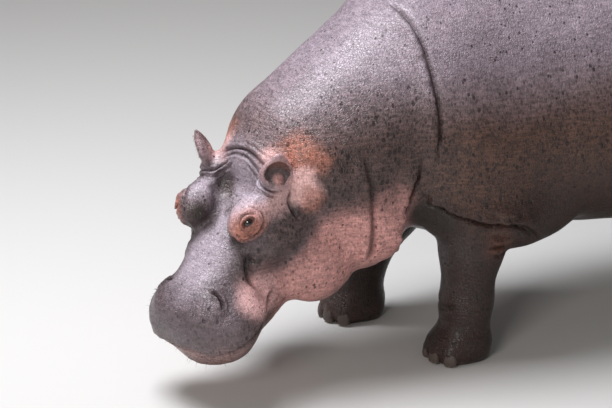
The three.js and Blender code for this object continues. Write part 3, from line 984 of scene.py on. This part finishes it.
    def build(self) -> bpy.types.Object:
        """Makes the hide as one finished object.

        Returns:
            The hide, in the row frame.
        """
        head = self.plan.head
        surface = self.start()
        log.info("hide: %d vertices after the first wrap", len(surface.points))
        body = self.flesh()
        surface.settle(body, 3)
        surface.relax(3)
        surface.settle(body, 1)
        in_head = local(head.pose, surface.points)
        box = (in_head[:, 1] < self.head_reach) & (in_head[:, 2] > -520)
        surface.refine(box)
        eyes = [head.eye_frame(side) for side in Side]
        details = np.zeros(len(surface.points), bool)
        for pose in eyes:
            details |= np.linalg.norm(surface.points - np.array(pose.translation), axis=1) < 92
        for side in Side:
            details |= self.ear_near(surface, side, 16)
            nostril = np.array(head.pose @ Vector((side.value * 160, -575, -58)))
            details |= np.linalg.norm(surface.points - nostril, axis=1) < 66
        surface.refine(details)
        details = np.zeros(len(surface.points), bool)
        for pose in eyes:
            details |= np.linalg.norm(surface.points - np.array(pose.translation), axis=1) < 52
        surface.refine(details)
        in_head = local(head.pose, surface.points)
        face = in_head[:, 1] < self.head_reach + 30
        surface.settle(body, 2, face)
        surface.relax(3, where=face)
        surface.settle(body, 2, face)
        log.info("hide: %d vertices in all", len(surface.points))
        for cup in (0.3, 0.55, 0.8, 1.0):
            near = self.ear_near(surface, Side.LEFT, 12) | self.ear_near(surface, Side.RIGHT, 12)
            hollow = self.flesh(cup)
            surface.settle(hollow, 3, near, 6)
            surface.relax(4, where=near)
            surface.settle(hollow, 1, near, 6)
        folds = [(crease, crease.lines(body, head.pose, sides)) for crease, sides in self.creases()]
        for reach in (3.0, 1.4):
            close = np.zeros(len(surface.points), bool)
            for crease, lines in folds:
                if crease.on_head and crease.width > self.fine_fold:
                    continue
                for line, _ in lines:
                    near = crease.near(surface.points, line, crease.width * reach)
                    close[near] |= along_line(surface.points[near], line)[0] < crease.width * reach
            surface.refine(close)
        in_head = local(head.pose, surface.points)
        on_ears = self.ear_near(surface, Side.LEFT, 16) | self.ear_near(surface, Side.RIGHT, 16)
        surface.settle(body, 1, ~on_ears)
        surface.relax(1, where=smooth(self.head_reach - 30, self.head_reach, in_head[:, 1]))
        log.info("hide: %d vertices with the folds", len(surface.points))
        # painted shade in the folds, filled in by the creases and the lids
        fold = np.zeros(len(surface.points))
        self.relief(surface, 1 - smooth(self.head_reach - 160, self.head_reach, in_head[:, 1]))
        for crease, lines in folds:
            crease.press(surface, lines, fold)
        for side in Side:
            self.open_lids(surface, side, fold)
            pose = head.ear_frame(side)
            q = local(pose, surface.points)
            knob = head.ear_knob(q)
            q[:, 1] -= self.ear_knob * knob
            surface.points[knob > 0] = placed(pose, q)[knob > 0]
        surface.points[:, 2] = np.maximum(surface.points[:, 2], 0)
        return self.dress(surface, fold)

    def dress(self, surface: Surface, fold: np.ndarray) -> bpy.types.Object:
        """Paints the surface, moves it into the row frame and makes the object."""
        out = surface.normals()
        tones = self.paint.lay(surface.points, out, self.plan.head.pose)
        for side in Side:
            length = self.plan.head.ear_size[2]
            q = local(self.plan.head.ear_frame(side), surface.points)
            on_ear = smooth(0.0, 0.25, q[:, 2] / length) * (self.plan.head.ear_shell().distance(q) < 14)
            deep = self.plan.head.ear_cup().distance(q) < 3
            rim = self.paint.blush.row() * np.array([0.75, 0.75, 0.8, 1])
            pale = self.near_ear_pale if side is Side.LEFT else self.far_ear_pale
            tones += (rim - tones) * (pale * on_ear)[:, None]
            # inside the cup: painted shade low down, going to a dark brownish red towards the tip
            inner = self.paint.painted_shade.row() * (1 - smooth(0.4, 0.85, q[:, 2] / length))[:, None]
            inner = inner + self.paint.coral.row() * 0.38 * smooth(0.4, 0.85, q[:, 2] / length)[:, None]
            tones += (inner - tones) * (0.92 * on_ear * deep)[:, None]
            knob = self.plan.head.ear_knob(q)
            tones += (self.paint.rose.row() * 0.75 - tones) * (0.9 * smooth(0.2, 0.8, knob))[:, None]
        mesh = surface.mesh
        surface.write()
        mesh.transform(TO_ROW)
        mesh.name = "hide"
        mesh.attributes.new("hide_tone", "FLOAT_COLOR", "POINT").data.foreach_set(
            "color", np.concatenate([tones[:, :3], np.ones((len(tones), 1))], axis=1).ravel()
        )
        mesh.attributes.new("hide_specks", "FLOAT", "POINT").data.foreach_set("value", tones[:, 3].copy())
        # the painted shade of the folds
        mesh.attributes.new("hide_fold", "FLOAT", "POINT").data.foreach_set("value", np.clip(fold, 0, 1))
        mesh.shade_smooth()
        hide = bpy.data.objects.new("hide", mesh)
        bpy.context.scene.collection.objects.link(hide)
        mesh.materials.append(HideFinish().material())
        return hide


@dataclass(frozen=True)
class Hollow:
    """One field with another scooped out of it."""

    solid: Field
    scoop: Field
    edge: float = 5.0

    def distance(self, p: np.ndarray) -> np.ndarray:
        """The distance of each point from what is left."""
        d, hole = self.solid.distance(p), -self.scoop.distance(p)
        overlap = np.maximum(self.edge - np.abs(d - hole), 0)
        return np.maximum(d, hole) + overlap * overlap / (4 * self.edge)


# ------------------------------------------------------------------------------------------ finishes
class Nodes:
    """A short way to place and link nodes in one tree."""

    def __init__(self, tree: bpy.types.NodeTree) -> None:
        """Works in this tree."""
        self.tree = tree

    def add(self, kind: str, values: dict[str | int, object] | None = None, **settings: object) -> bpy.types.Node:
        """Places a node.

        Args:
            kind: The node's type.
            values: Input values or sockets to link, by name or number.
            settings: The node's own properties.

        Returns:
            The node.
        """
        node = self.tree.nodes.new(kind)
        for name, value in settings.items():
            setattr(node, name, value)
        for name, value in (values or {}).items():
            if isinstance(value, bpy.types.NodeSocket):
                self.tree.links.new(value, node.inputs[name])
            else:
                node.inputs[name].default_value = value
        return node

    def math(self, operation: str, a: object, b: object = 0.0, clamp: bool = False) -> bpy.types.NodeSocket:
        """The result of one operation on two values or sockets."""
        return self.add("ShaderNodeMath", {0: a, 1: b}, operation=operation, use_clamp=clamp).outputs[0]

    def span(self, value: object, low: float, high: float, to_low: float = 0, to_high: float = 1) -> bpy.types.NodeSocket:
        """A value taken smoothly from one span to another."""
        values = {"Value": value, "From Min": low, "From Max": high, "To Min": to_low, "To Max": to_high}
        return self.add("ShaderNodeMapRange", values, interpolation_type="SMOOTHSTEP").outputs[0]

    def blend(self, amount: object, a: object, b: object, kind: str = "MIX") -> bpy.types.NodeSocket:
        """Colour a going to colour b."""
        node = self.add("ShaderNodeMix", data_type="RGBA", blend_type=kind)
        for socket, value in ((node.inputs[0], amount), (node.inputs[6], a), (node.inputs[7], b)):
            if isinstance(value, bpy.types.NodeSocket):
                self.tree.links.new(value, socket)
            else:
                socket.default_value = value
        return node.outputs[2]

    def mapped(self, scale: Point, turn: Point = (0, 0, 0), at: Point = (0, 0, 0)) -> bpy.types.NodeSocket:
        """Object coordinates, stretched and turned."""
        place = self.add("ShaderNodeTexCoord").outputs["Object"]
        return self.add("ShaderNodeMapping", {"Vector": place, "Scale": scale, "Rotation": turn, "Location": at}).outputs[0]


def group(name: str, inputs: dict[str, float], outputs: Sequence[str]) -> tuple[bpy.types.NodeTree, dict]:
    """A node group with number inputs and outputs.

    Args:
        name: The group's name.
        inputs: Its inputs and their defaults.
        outputs: Its outputs.

    Returns:
        The tree, and its input and output nodes' sockets by name.
    """
    tree = bpy.data.node_groups.new(name, "ShaderNodeTree")
    for key, value in inputs.items():
        tree.interface.new_socket(key, in_out="INPUT", socket_type="NodeSocketFloat").default_value = value
    for key in outputs:
        tree.interface.new_socket(key, in_out="OUTPUT", socket_type="NodeSocketFloat")
    source, sink = tree.nodes.new("NodeGroupInput"), tree.nodes.new("NodeGroupOutput")
    return tree, {"in": source.outputs, "out": sink.inputs}


def crazing_group() -> bpy.types.NodeTree:
    """Fine crossing lines and soft grain over a hard or leathery surface."""
    if "crazing" in bpy.data.node_groups:
        return bpy.data.node_groups["crazing"]
    tree, ends = group("crazing", {"Scale": 60.0, "Cross": 0.6}, ("Height", "Grain"))
    n = Nodes(tree)
    place = n.add("ShaderNodeTexCoord").outputs["Object"]
    warp = n.add("ShaderNodeTexNoise", {"Vector": place, "Scale": 14.0, "Detail": 2.0}).outputs["Color"]
    shifted = n.add("ShaderNodeVectorMath", {0: warp, 1: (0.02, 0.02, 0.02)}, operation="MULTIPLY").outputs[0]
    moved = n.add("ShaderNodeVectorMath", {0: place, 1: shifted}, operation="ADD").outputs[0]
    tall = n.add("ShaderNodeMapping", {"Vector": moved, "Scale": (1.3, 1.3, 0.55)}).outputs[0]
    wide = n.add("ShaderNodeMapping", {"Vector": moved, "Scale": (0.6, 0.6, 1.9)}).outputs[0]
    a = n.add("ShaderNodeTexVoronoi", {"Vector": tall, "Scale": ends["in"]["Scale"]}, feature="DISTANCE_TO_EDGE")
    b = n.add("ShaderNodeTexVoronoi", {"Vector": wide, "Scale": ends["in"]["Scale"]}, feature="DISTANCE_TO_EDGE")
    one, two = n.span(a.outputs[0], 0, 0.16), n.span(b.outputs[0], 0, 0.16)
    two = n.math("MULTIPLY", n.math("SUBTRACT", 1.0, two), ends["in"]["Cross"])
    tree.links.new(n.math("SUBTRACT", one, two), ends["out"]["Height"])
    grain = n.add("ShaderNodeTexNoise", {"Vector": place, "Scale": 190.0, "Detail": 3.0})
    tree.links.new(grain.outputs[0], ends["out"]["Grain"])
    return tree


@dataclass(frozen=True)
class HideFinish:
    """Bare hide: painted tones, dark pores, fine wrinkles and a soft wet sheen."""

    roughness: float = 0.37
    speck_spacing: float = 0.0235
    speck_dark: float = 0.88
    wrinkle: float = 0.0030

    def material(self) -> bpy.types.Material:
        """The finish as a material."""
        made = bpy.data.materials.new("hide")
        made.use_nodes = True
        n = Nodes(made.node_tree)
        shader = made.node_tree.nodes["Principled BSDF"]
        tone = n.add("ShaderNodeAttribute", attribute_name="hide_tone").outputs["Color"]
        specks = n.add("ShaderNodeAttribute", attribute_name="hide_specks").outputs["Fac"]
        fold = n.add("ShaderNodeAttribute", attribute_name="hide_fold").outputs["Fac"]
        crazing = n.add("ShaderNodeGroup", {}, node_tree=crazing_group())
        crazing.inputs["Scale"].default_value, crazing.inputs["Cross"].default_value = 75.0, 0.7
        # dark pores, longer than wide, thinned out by a slow noise
        near = 1 / self.speck_spacing
        spots = n.add("ShaderNodeTexVoronoi", {"Vector": n.mapped((near, near, near * 0.62), (0.25, 0.12, 0)), "Scale": 1.0})
        thin = n.add("ShaderNodeTexNoise", {"Vector": n.mapped((1, 1, 1)), "Scale": 9.0, "Detail": 3.0}).outputs[0]
        size = n.math("MULTIPLY", n.span(thin, 0.36, 0.64, 0.45, 1.0), specks)
        size = n.math("MULTIPLY_ADD", size, 0.34)
        size.node.inputs[2].default_value = 0.07
        lone = n.add("ShaderNodeSeparateColor", {"Color": spots.outputs["Color"]}).outputs[0]
        size = n.math("MULTIPLY", size, n.span(lone, 0.1, 0.9, 0.55, 1.25))
        pore = n.span(n.math("DIVIDE", spots.outputs["Distance"], size), 1.0, 0.5)
        small = n.add("ShaderNodeTexVoronoi", {"Vector": n.mapped((76, 76, 50), (0.2, 0, 0.3)), "Scale": 1.0})
        fleck = n.math("MULTIPLY", n.span(small.outputs["Distance"], 0.46, 0.24), specks)
        # cloudy mottling
        cloud = n.add("ShaderNodeTexNoise", {"Vector": n.mapped((1, 1, 0.7)), "Scale": 26.0, "Detail": 5.0, "Roughness": 0.62})
        mottle = n.span(cloud.outputs[0], 0.32, 0.68, 0.78, 1.20)
        streak = n.add("ShaderNodeTexNoise", {"Vector": n.mapped((26, 26, 120), (0.12, 0.1, 0)), "Scale": 1.0,
                                              "Detail": 3.0, "Roughness": 0.6})
        mottle = n.math("MULTIPLY", mottle, n.span(streak.outputs[0], 0.38, 0.64, 0.70, 1.28))
        uneven = n.math("MULTIPLY", n.math("SUBTRACT", mottle, 1.0), n.span(specks, 0.2, 1.0, 0.30, 1.0))
        mottle = n.math("ADD", uneven, 1.0)
        grey = n.add("ShaderNodeCombineColor", {0: mottle, 1: mottle, 2: mottle}).outputs[0]
        colour = n.blend(1.0, tone, grey, "MULTIPLY")
        dark = n.blend(1.0, tone, (0.16, 0.12, 0.12, 1), "MULTIPLY")
        colour = n.blend(n.math("MULTIPLY", pore, self.speck_dark), colour, dark)
        colour = n.blend(n.math("MULTIPLY", fleck, 0.72), colour, dark)
        # painted shade darkens the bottoms of the folds and furrows
        colour = n.blend(n.math("MULTIPLY", fold, 0.85), colour, n.blend(1.0, tone, (0.14, 0.085, 0.08, 1), "MULTIPLY"))
        lines = n.span(crazing.outputs["Height"], 0.0, 0.9, 0.84, 1.05)
        shade = n.add("ShaderNodeCombineColor", {0: lines, 1: lines, 2: lines}).outputs[0]
        colour = n.blend(1.0, colour, shade, "MULTIPLY")
        made.node_tree.links.new(colour, shader.inputs["Base Color"])
        rough = n.math("ADD", n.span(cloud.outputs[0], 0.3, 0.7, -0.06, 0.08), self.roughness)
        made.node_tree.links.new(n.math("ADD", rough, n.math("MULTIPLY", fold, 0.15)), shader.inputs["Roughness"])
        height = n.math("MULTIPLY_ADD", crazing.outputs["Height"], 0.34)
        made.node_tree.links.new(n.math("MULTIPLY", streak.outputs[0], 0.9), height.node.inputs[2])
        height = n.math("SUBTRACT", height, n.math("MULTIPLY", pore, 0.5))
        height = n.math("ADD", height, n.math("MULTIPLY", crazing.outputs["Grain"], 0.15))
        bump = n.add("ShaderNodeBump", {"Height": height, "Distance": self.wrinkle, "Strength": 0.9})
        made.node_tree.links.new(bump.outputs[0], shader.inputs["Normal"])
        shader.inputs["Specular IOR Level"].default_value = 0.5
        shader.inputs["Coat Weight"].default_value = 0.12
        shader.inputs["Coat Roughness"].default_value = 0.28
        return made


@dataclass(frozen=True)
class EyeFinish:
    """A wet brown eye: dark pupil, streaked iris and veined white, told apart by the angle off its axis."""

    pupil: float = 0.22
    iris: float = 0.54

    def material(self) -> bpy.types.Material:
        """The finish as a material."""
        made = bpy.data.materials.new("eyeball")
        made.use_nodes = True
        n = Nodes(made.node_tree)
        shader = made.node_tree.nodes["Principled BSDF"]
        off = n.add("ShaderNodeAttribute", attribute_name="off_axis").outputs["Fac"]
        streak = n.add("ShaderNodeTexNoise", {"Vector": n.mapped((1, 1, 1)), "Scale": 420.0, "Detail": 3.0}).outputs[0]
        iris = n.blend(n.span(streak, 0.35, 0.65), (0.014, 0.006, 0.003, 1), (0.055, 0.022, 0.009, 1))
        white = n.blend(n.span(streak, 0.45, 0.7), (0.12, 0.065, 0.05, 1), (0.07, 0.03, 0.022, 1))
        colour = n.blend(n.span(off, self.iris - 0.03, self.iris + 0.05), iris, white)
        colour = n.blend(n.span(off, self.pupil + 0.03, self.pupil - 0.02), colour, (0.002, 0.0015, 0.001, 1))
        made.node_tree.links.new(colour, shader.inputs["Base Color"])
        shader.inputs["Roughness"].default_value = 0.12
        shader.inputs["Coat Weight"].default_value = 1.0
        shader.inputs["Coat Roughness"].default_value = 0.02
        return made


@dataclass(frozen=True)
class NailFinish:
    """Horn: dark, ridged from root to edge and dull."""

    tone: Point = (0.085, 0.062, 0.052)
    worn: Point = (0.20, 0.155, 0.13)
    roughness: float = 0.5

    def material(self) -> bpy.types.Material:
        """The finish as a material."""
        made = bpy.data.materials.new("nail")
        made.use_nodes = True
        n = Nodes(made.node_tree)
        shader = made.node_tree.nodes["Principled BSDF"]
        crazing = n.add("ShaderNodeGroup", {}, node_tree=crazing_group())
        crazing.inputs["Scale"].default_value, crazing.inputs["Cross"].default_value = 150.0, 0.2
        ridge = n.add("ShaderNodeTexNoise", {"Vector": n.mapped((170, 170, 12)), "Scale": 1.0, "Detail": 2.0}).outputs[0]
        height = n.add("ShaderNodeSeparateXYZ", {0: n.mapped((1, 1, 1))}).outputs[2]
        low = n.math("ADD", n.span(height, 0.022, 0.002), n.span(ridge, 0.4, 0.8, -0.3, 0.4))
        colour = n.blend(n.span(low, 0.2, 1.0), (*self.tone, 1), (*self.worn, 1))
        made.node_tree.links.new(colour, shader.inputs["Base Color"])
        made.node_tree.links.new(n.span(crazing.outputs["Grain"], 0.3, 0.7, self.roughness - 0.08, self.roughness + 0.12),
                                 shader.inputs["Roughness"])
        rise = n.math("ADD", n.math("MULTIPLY", ridge, 1.0), n.math("MULTIPLY", crazing.outputs["Height"], 0.3))
        bump = n.add("ShaderNodeBump", {"Height": rise, "Distance": 0.0015, "Strength": 0.8})
        made.node_tree.links.new(bump.outputs[0], shader.inputs["Normal"])
        return made


@dataclass(frozen=True)
class PlainFinish:
    """One even colour."""

    name: str
    tone: Point
    roughness: float

    def material(self) -> bpy.types.Material:
        """The finish as a material."""
        made = bpy.data.materials.new(self.name)
        made.use_nodes = True
        shader = made.node_tree.nodes["Principled BSDF"]
        shader.inputs["Base Color"].default_value = (*self.tone, 1)
        shader.inputs["Roughness"].default_value = self.roughness
        return made


# ------------------------------------------------------------------------------------------ the other pieces
def finished(name: str, bm: bmesh.types.BMesh, material: bpy.types.Material) -> bpy.types.Object:
    """A bmesh in the animal's frame made into an object of the row frame.

    Args:
        name: The object's name.
        bm: The shape. It is freed.
        material: Its material.

    Returns:
        The object, at the origin.
    """
    bmesh.ops.transform(bm, matrix=TO_ROW, verts=bm.verts)
    mesh = bpy.data.meshes.new(name)
    bm.to_mesh(mesh)
    bm.free()
    mesh.shade_smooth()
    mesh.materials.append(material)
    made = bpy.data.objects.new(name, mesh)
    bpy.context.scene.collection.objects.link(made)
    return made


@dataclass
class Eyes:
    """The two eyeballs, each with a raised clear front."""

    plan: HeadPlan
    rings: int = 48
    spokes: int = 64
    cornea: float = 1.6
    finish: EyeFinish = field(default_factory=EyeFinish)

    def build(self) -> list[bpy.types.Object]:
        """Both eyes, in the row frame."""
        material = self.finish.material()
        made = []
        for side in Side:
            bm = bmesh.new()
            bmesh.ops.create_uvsphere(bm, u_segments=self.spokes, v_segments=self.rings, radius=self.plan.eye_radius)
            layer = bm.verts.layers.float.new("off_axis")
            for v in bm.verts:
                off = math.degrees(v.co.angle(Vector((0, 0, 1)))) / 90
                v[layer] = off
                v.co += v.co.normalized() * self.cornea * max(0.0, 1 - (off / 0.42) ** 2) ** 0.7
            bmesh.ops.transform(bm, matrix=self.plan.eye_frame(side), verts=bm.verts)
            eye = finished(f"eyeball_{side.name.lower()}", bm, material)
            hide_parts(f"eye_{side.name.lower()}")
            made.append(eye)
        return made


@dataclass
class Nails:
    """The nails of one foot: broad, rounded and blunt, leaning out over the ground."""

    name: str
    leg: LegPlan
    wide: float = 25.0
    deep: float = 17.0
    high: float = 27.0
    ahead: float = 22.0
    middle: float = 27.5
    finish: NailFinish = field(default_factory=NailFinish)

    def build(self, material: bpy.types.Material) -> bpy.types.Object:
        """The foot's nails as one piece, in the row frame."""
        bm = bmesh.new()
        for at, heading in self.leg.toe_places():
            way = Vector((math.cos(heading), math.sin(heading), 0))
            place = Matrix.Translation(at.xy.to_3d() + way * self.ahead + Vector((0, 0, self.middle)))
            turn = Matrix.Rotation(heading, 4, "Z")
            ball = bmesh.ops.create_icosphere(bm, subdivisions=4, radius=1, matrix=Matrix())
            for v in ball["verts"]:
                c = v.co
                squarer = max(abs(c.x), abs(c.y), abs(c.z)) ** 0.32
                c /= squarer
                lean = 1 + 0.18 * -c.z
                v.co = Vector((c.x * self.deep * lean, c.y * self.wide * (1 - 0.10 * c.z), c.z * self.high))
            bmesh.ops.transform(bm, matrix=place @ turn, verts=ball["verts"])
        return finished(self.name, bm, material)


@dataclass
class Bristles:
    """Sparse stiff hairs on the lips, the ears' rims and the tail's tip."""

    plan: BodyPlan
    seed: int = 7
    thick: float = 0.55
    finish: PlainFinish = PlainFinish("bristle", (0.05, 0.035, 0.03), 0.5)

    def pattern(self) -> bpy.types.Mesh:
        """One straight bristle a millimetre long, up its own Z."""
        bm = bmesh.new()
        bm.loops.layers.uv.new("OFBake")
        bmesh.ops.create_cone(
            bm, cap_ends=True, segments=4, radius1=self.thick, radius2=self.thick * 0.25, depth=1,
            matrix=Matrix.Translation((0, 0, 0.5)),
        )  # fmt: skip
        for height in (0.3, 0.6, 0.85):
            geometry = [*bm.verts, *bm.edges, *bm.faces]
            bmesh.ops.bisect_plane(bm, geom=geometry, plane_co=(0, 0, height), plane_no=(0, 0, 1))
        mesh = bpy.data.meshes.new("bristle")
        bm.to_mesh(mesh)
        bm.free()
        return mesh

    def one(self, bm: bmesh.types.BMesh, pattern: bpy.types.Mesh, root: Vector, way: Vector, length: float,
            droop: Vector, uv: tuple[float, float]) -> None:  # fmt: skip
        """Adds a single bristle.

        Args:
            bm: The mesh that it joins.
            pattern: The straight bristle.
            root: Where it leaves the hide.
            way: The way that it grows.
            length: Its length.
            droop: The way that it bends.
            uv: The middle of its patch, in a map wrapped round the body.
        """
        first_vert, first_face = len(bm.verts), len(bm.faces)
        bm.from_mesh(pattern)
        bm.verts.ensure_lookup_table()
        bm.faces.ensure_lookup_table()
        turn = way.to_track_quat("Z", "Y").to_matrix()
        for v in bm.verts[first_vert:]:
            t = v.co.z
            v.co = root - way * 3 + turn @ Vector((v.co.x, v.co.y, t * length)) + droop * length * t * t
        layer = bm.loops.layers.uv["OFBake"]
        for f in bm.faces[first_face:]:
            for loop in f.loops:
                side = (loop.vert.co - root) / length
                loop[layer].uv = (uv[0] + side.x * 0.0015, uv[1] + side.z * 0.0015)

    def build(self, hide: bpy.types.Object) -> list[bpy.types.Object]:
        """All the bristles, rooted on the hide.

        Args:
            hide: The finished hide, in the row frame.

        Returns:
            One piece for each place that has bristles.
        """
        draw = random.Random(self.seed)
        count = len(hide.data.vertices)
        co, out = np.empty(count * 3), np.empty(count * 3)
        hide.data.vertices.foreach_get("co", co)
        hide.data.vertex_normals.foreach_get("vector", out)
        co, out = co.reshape(-1, 3) * 1000 - np.array(ROW_SHIFT), out.reshape(-1, 3)
        material, pattern = self.finish.material(), self.pattern()
        head = self.plan.head
        q = local(head.pose, co)
        lips = (q[:, 1] < -470) & (q[:, 2] < -90) & (q[:, 2] > -330)
        tail = (np.linalg.norm(co - np.array(self.plan.tail[2]), axis=1) < 130) & (np.abs(co[:, 0]) > 5)
        ears = np.zeros(count, bool)
        for side in Side:
            length = head.ear_size[2]
            e = local(head.ear_frame(side), co)
            rim = (head.ear_shell().distance(e) > -3) & (head.ear_cup().distance(e) < 9)
            ears |= rim & (e[:, 2] > length * 0.35) & (np.abs(head.ear_shell().distance(e)) < 6)
        fields = {
            "bristles_lips": (lips, 170, (10, 24), Vector((0, 0, -0.35))),
            "bristles_ears": (ears, 120, (6, 12), Vector((0, 0, -0.15))),
            "bristles_tail": (tail, 190, (30, 70), Vector((0, 0, -0.8))),
        }
        made = []
        for name, (where, number, (short, long), droop) in fields.items():
            bm = bmesh.new()
            bm.loops.layers.uv.new("OFBake")
            spots = [int(i) for i in np.flatnonzero(where)]
            for i in draw.sample(spots, min(number, len(spots))):
                way = Vector(out[i]) + Vector([draw.uniform(-0.35, 0.35) for _ in range(3)])
                uv = (0.5 + math.atan2(co[i][0], co[i][2] - 700) / (2 * math.pi), (co[i][1] + 1800) / 3300)
                self.one(bm, pattern, Vector(co[i]), way.normalized(), draw.uniform(short, long), droop, uv)
            bmesh.ops.recalc_face_normals(bm, faces=bm.faces)
            made.append(finished(name, bm, material))
        return made


# ------------------------------------------------------------------------------------------ the studio
@dataclass(frozen=True)
class Studio:
    """A pale floor, soft lights from above and the camera."""

    eye: Point = (10.571, -5.3142, 4.757)
    azimuth: float = 67.0
    height: float = 20.0
    lens: float = 197.65

    def floor(self) -> bpy.types.Object:
        """The floor, which isn't part of the animal."""
        bm = bmesh.new()
        bmesh.ops.create_grid(bm, x_segments=1, y_segments=1, size=60)
        mesh = bpy.data.meshes.new("floor")
        bm.to_mesh(mesh)
        bm.free()
        mesh.materials.append(PlainFinish("floor", (0.62, 0.61, 0.59), 0.9).material())
        made = bpy.data.objects.new("floor", mesh)
        bpy.context.scene.collection.objects.link(made)
        return made

    def light(self, name: str, at: Point, target: Point, size: float, power: float, tint: Point) -> None:
        """Hangs one square soft light.

        Args:
            name: Its name.
            at: Its place.
            target: The point that it faces.
            size: Its side.
            power: Its power in watts.
            tint: Its colour.
        """
        lamp = bpy.data.lights.new(name, "AREA")
        lamp.size, lamp.energy, lamp.color = size, power, tint
        made = bpy.data.objects.new(name, lamp)
        made.location = at
        made.rotation_euler = (Vector(target) - Vector(at)).to_track_quat("-Z", "Y").to_euler()
        bpy.context.scene.collection.objects.link(made)

    def build(self) -> None:
        """Sets up floor, world, lights and camera."""
        self.floor()
        world = bpy.data.worlds.new("studio")
        world.use_nodes = True
        world.node_tree.nodes["Background"].inputs[0].default_value = (0.98, 0.96, 0.96, 1)
        world.node_tree.nodes["Background"].inputs[1].default_value = 0.20
        bpy.context.scene.world = world
        self.light("key", (-0.7, -2.2, 5.2), (0.1, -0.7, 0.8), 2.6, 390, (0.94, 0.955, 1.0))
        self.light("fill", (6.5, -6.5, 4.2), (0.1, -0.8, 0.7), 3.0, 320, (1.0, 0.96, 0.93))
        camera = bpy.data.cameras.new("camera")
        camera.lens, camera.sensor_width, camera.clip_end = self.lens, 36.0, 200.0
        made = bpy.data.objects.new("camera", camera)
        a, e = math.radians(self.azimuth), math.radians(self.height)
        back = Vector((math.sin(a) * math.cos(e), -math.cos(a) * math.cos(e), math.sin(e)))
        right = (-back).cross(Vector((0, 0, 1))).normalized()
        turn = Matrix((right, back.cross(right), back)).transposed()
        made.matrix_world = Matrix.Translation(self.eye) @ turn.to_4x4()
        bpy.context.scene.collection.objects.link(made)
        bpy.context.scene.camera = made
        bpy.context.scene.view_settings.view_transform = "Standard"


def main() -> None:
    """Builds the animal piece by piece, then the studio."""
    logging.basicConfig(level=logging.INFO, format="%(message)s")
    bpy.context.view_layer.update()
    plan = BodyPlan()
    hide = Hide(plan).build()
    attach(hide, "root")
    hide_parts(*FLESH_NODES)
    log.info("hide: %d faces", len(hide.data.polygons))
    for eye in Eyes(plan.head).build():
        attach(eye, "root")
        log.info("%s: %d faces", eye.name, len(eye.data.polygons))
    horn = NailFinish().material()
    for name, leg in plan.legs().items():
        nails = Nails(f"{name}_nails", leg).build(horn)
        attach(nails, "root")
        log.info("%s: %d faces", nails.name, len(nails.data.polygons))
    for piece in Bristles(plan).build(hide):
        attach(piece, "root")
        log.info("%s: %d faces", piece.name, len(piece.data.polygons))
    Studio().build()


if __name__ == "__main__":
    main()
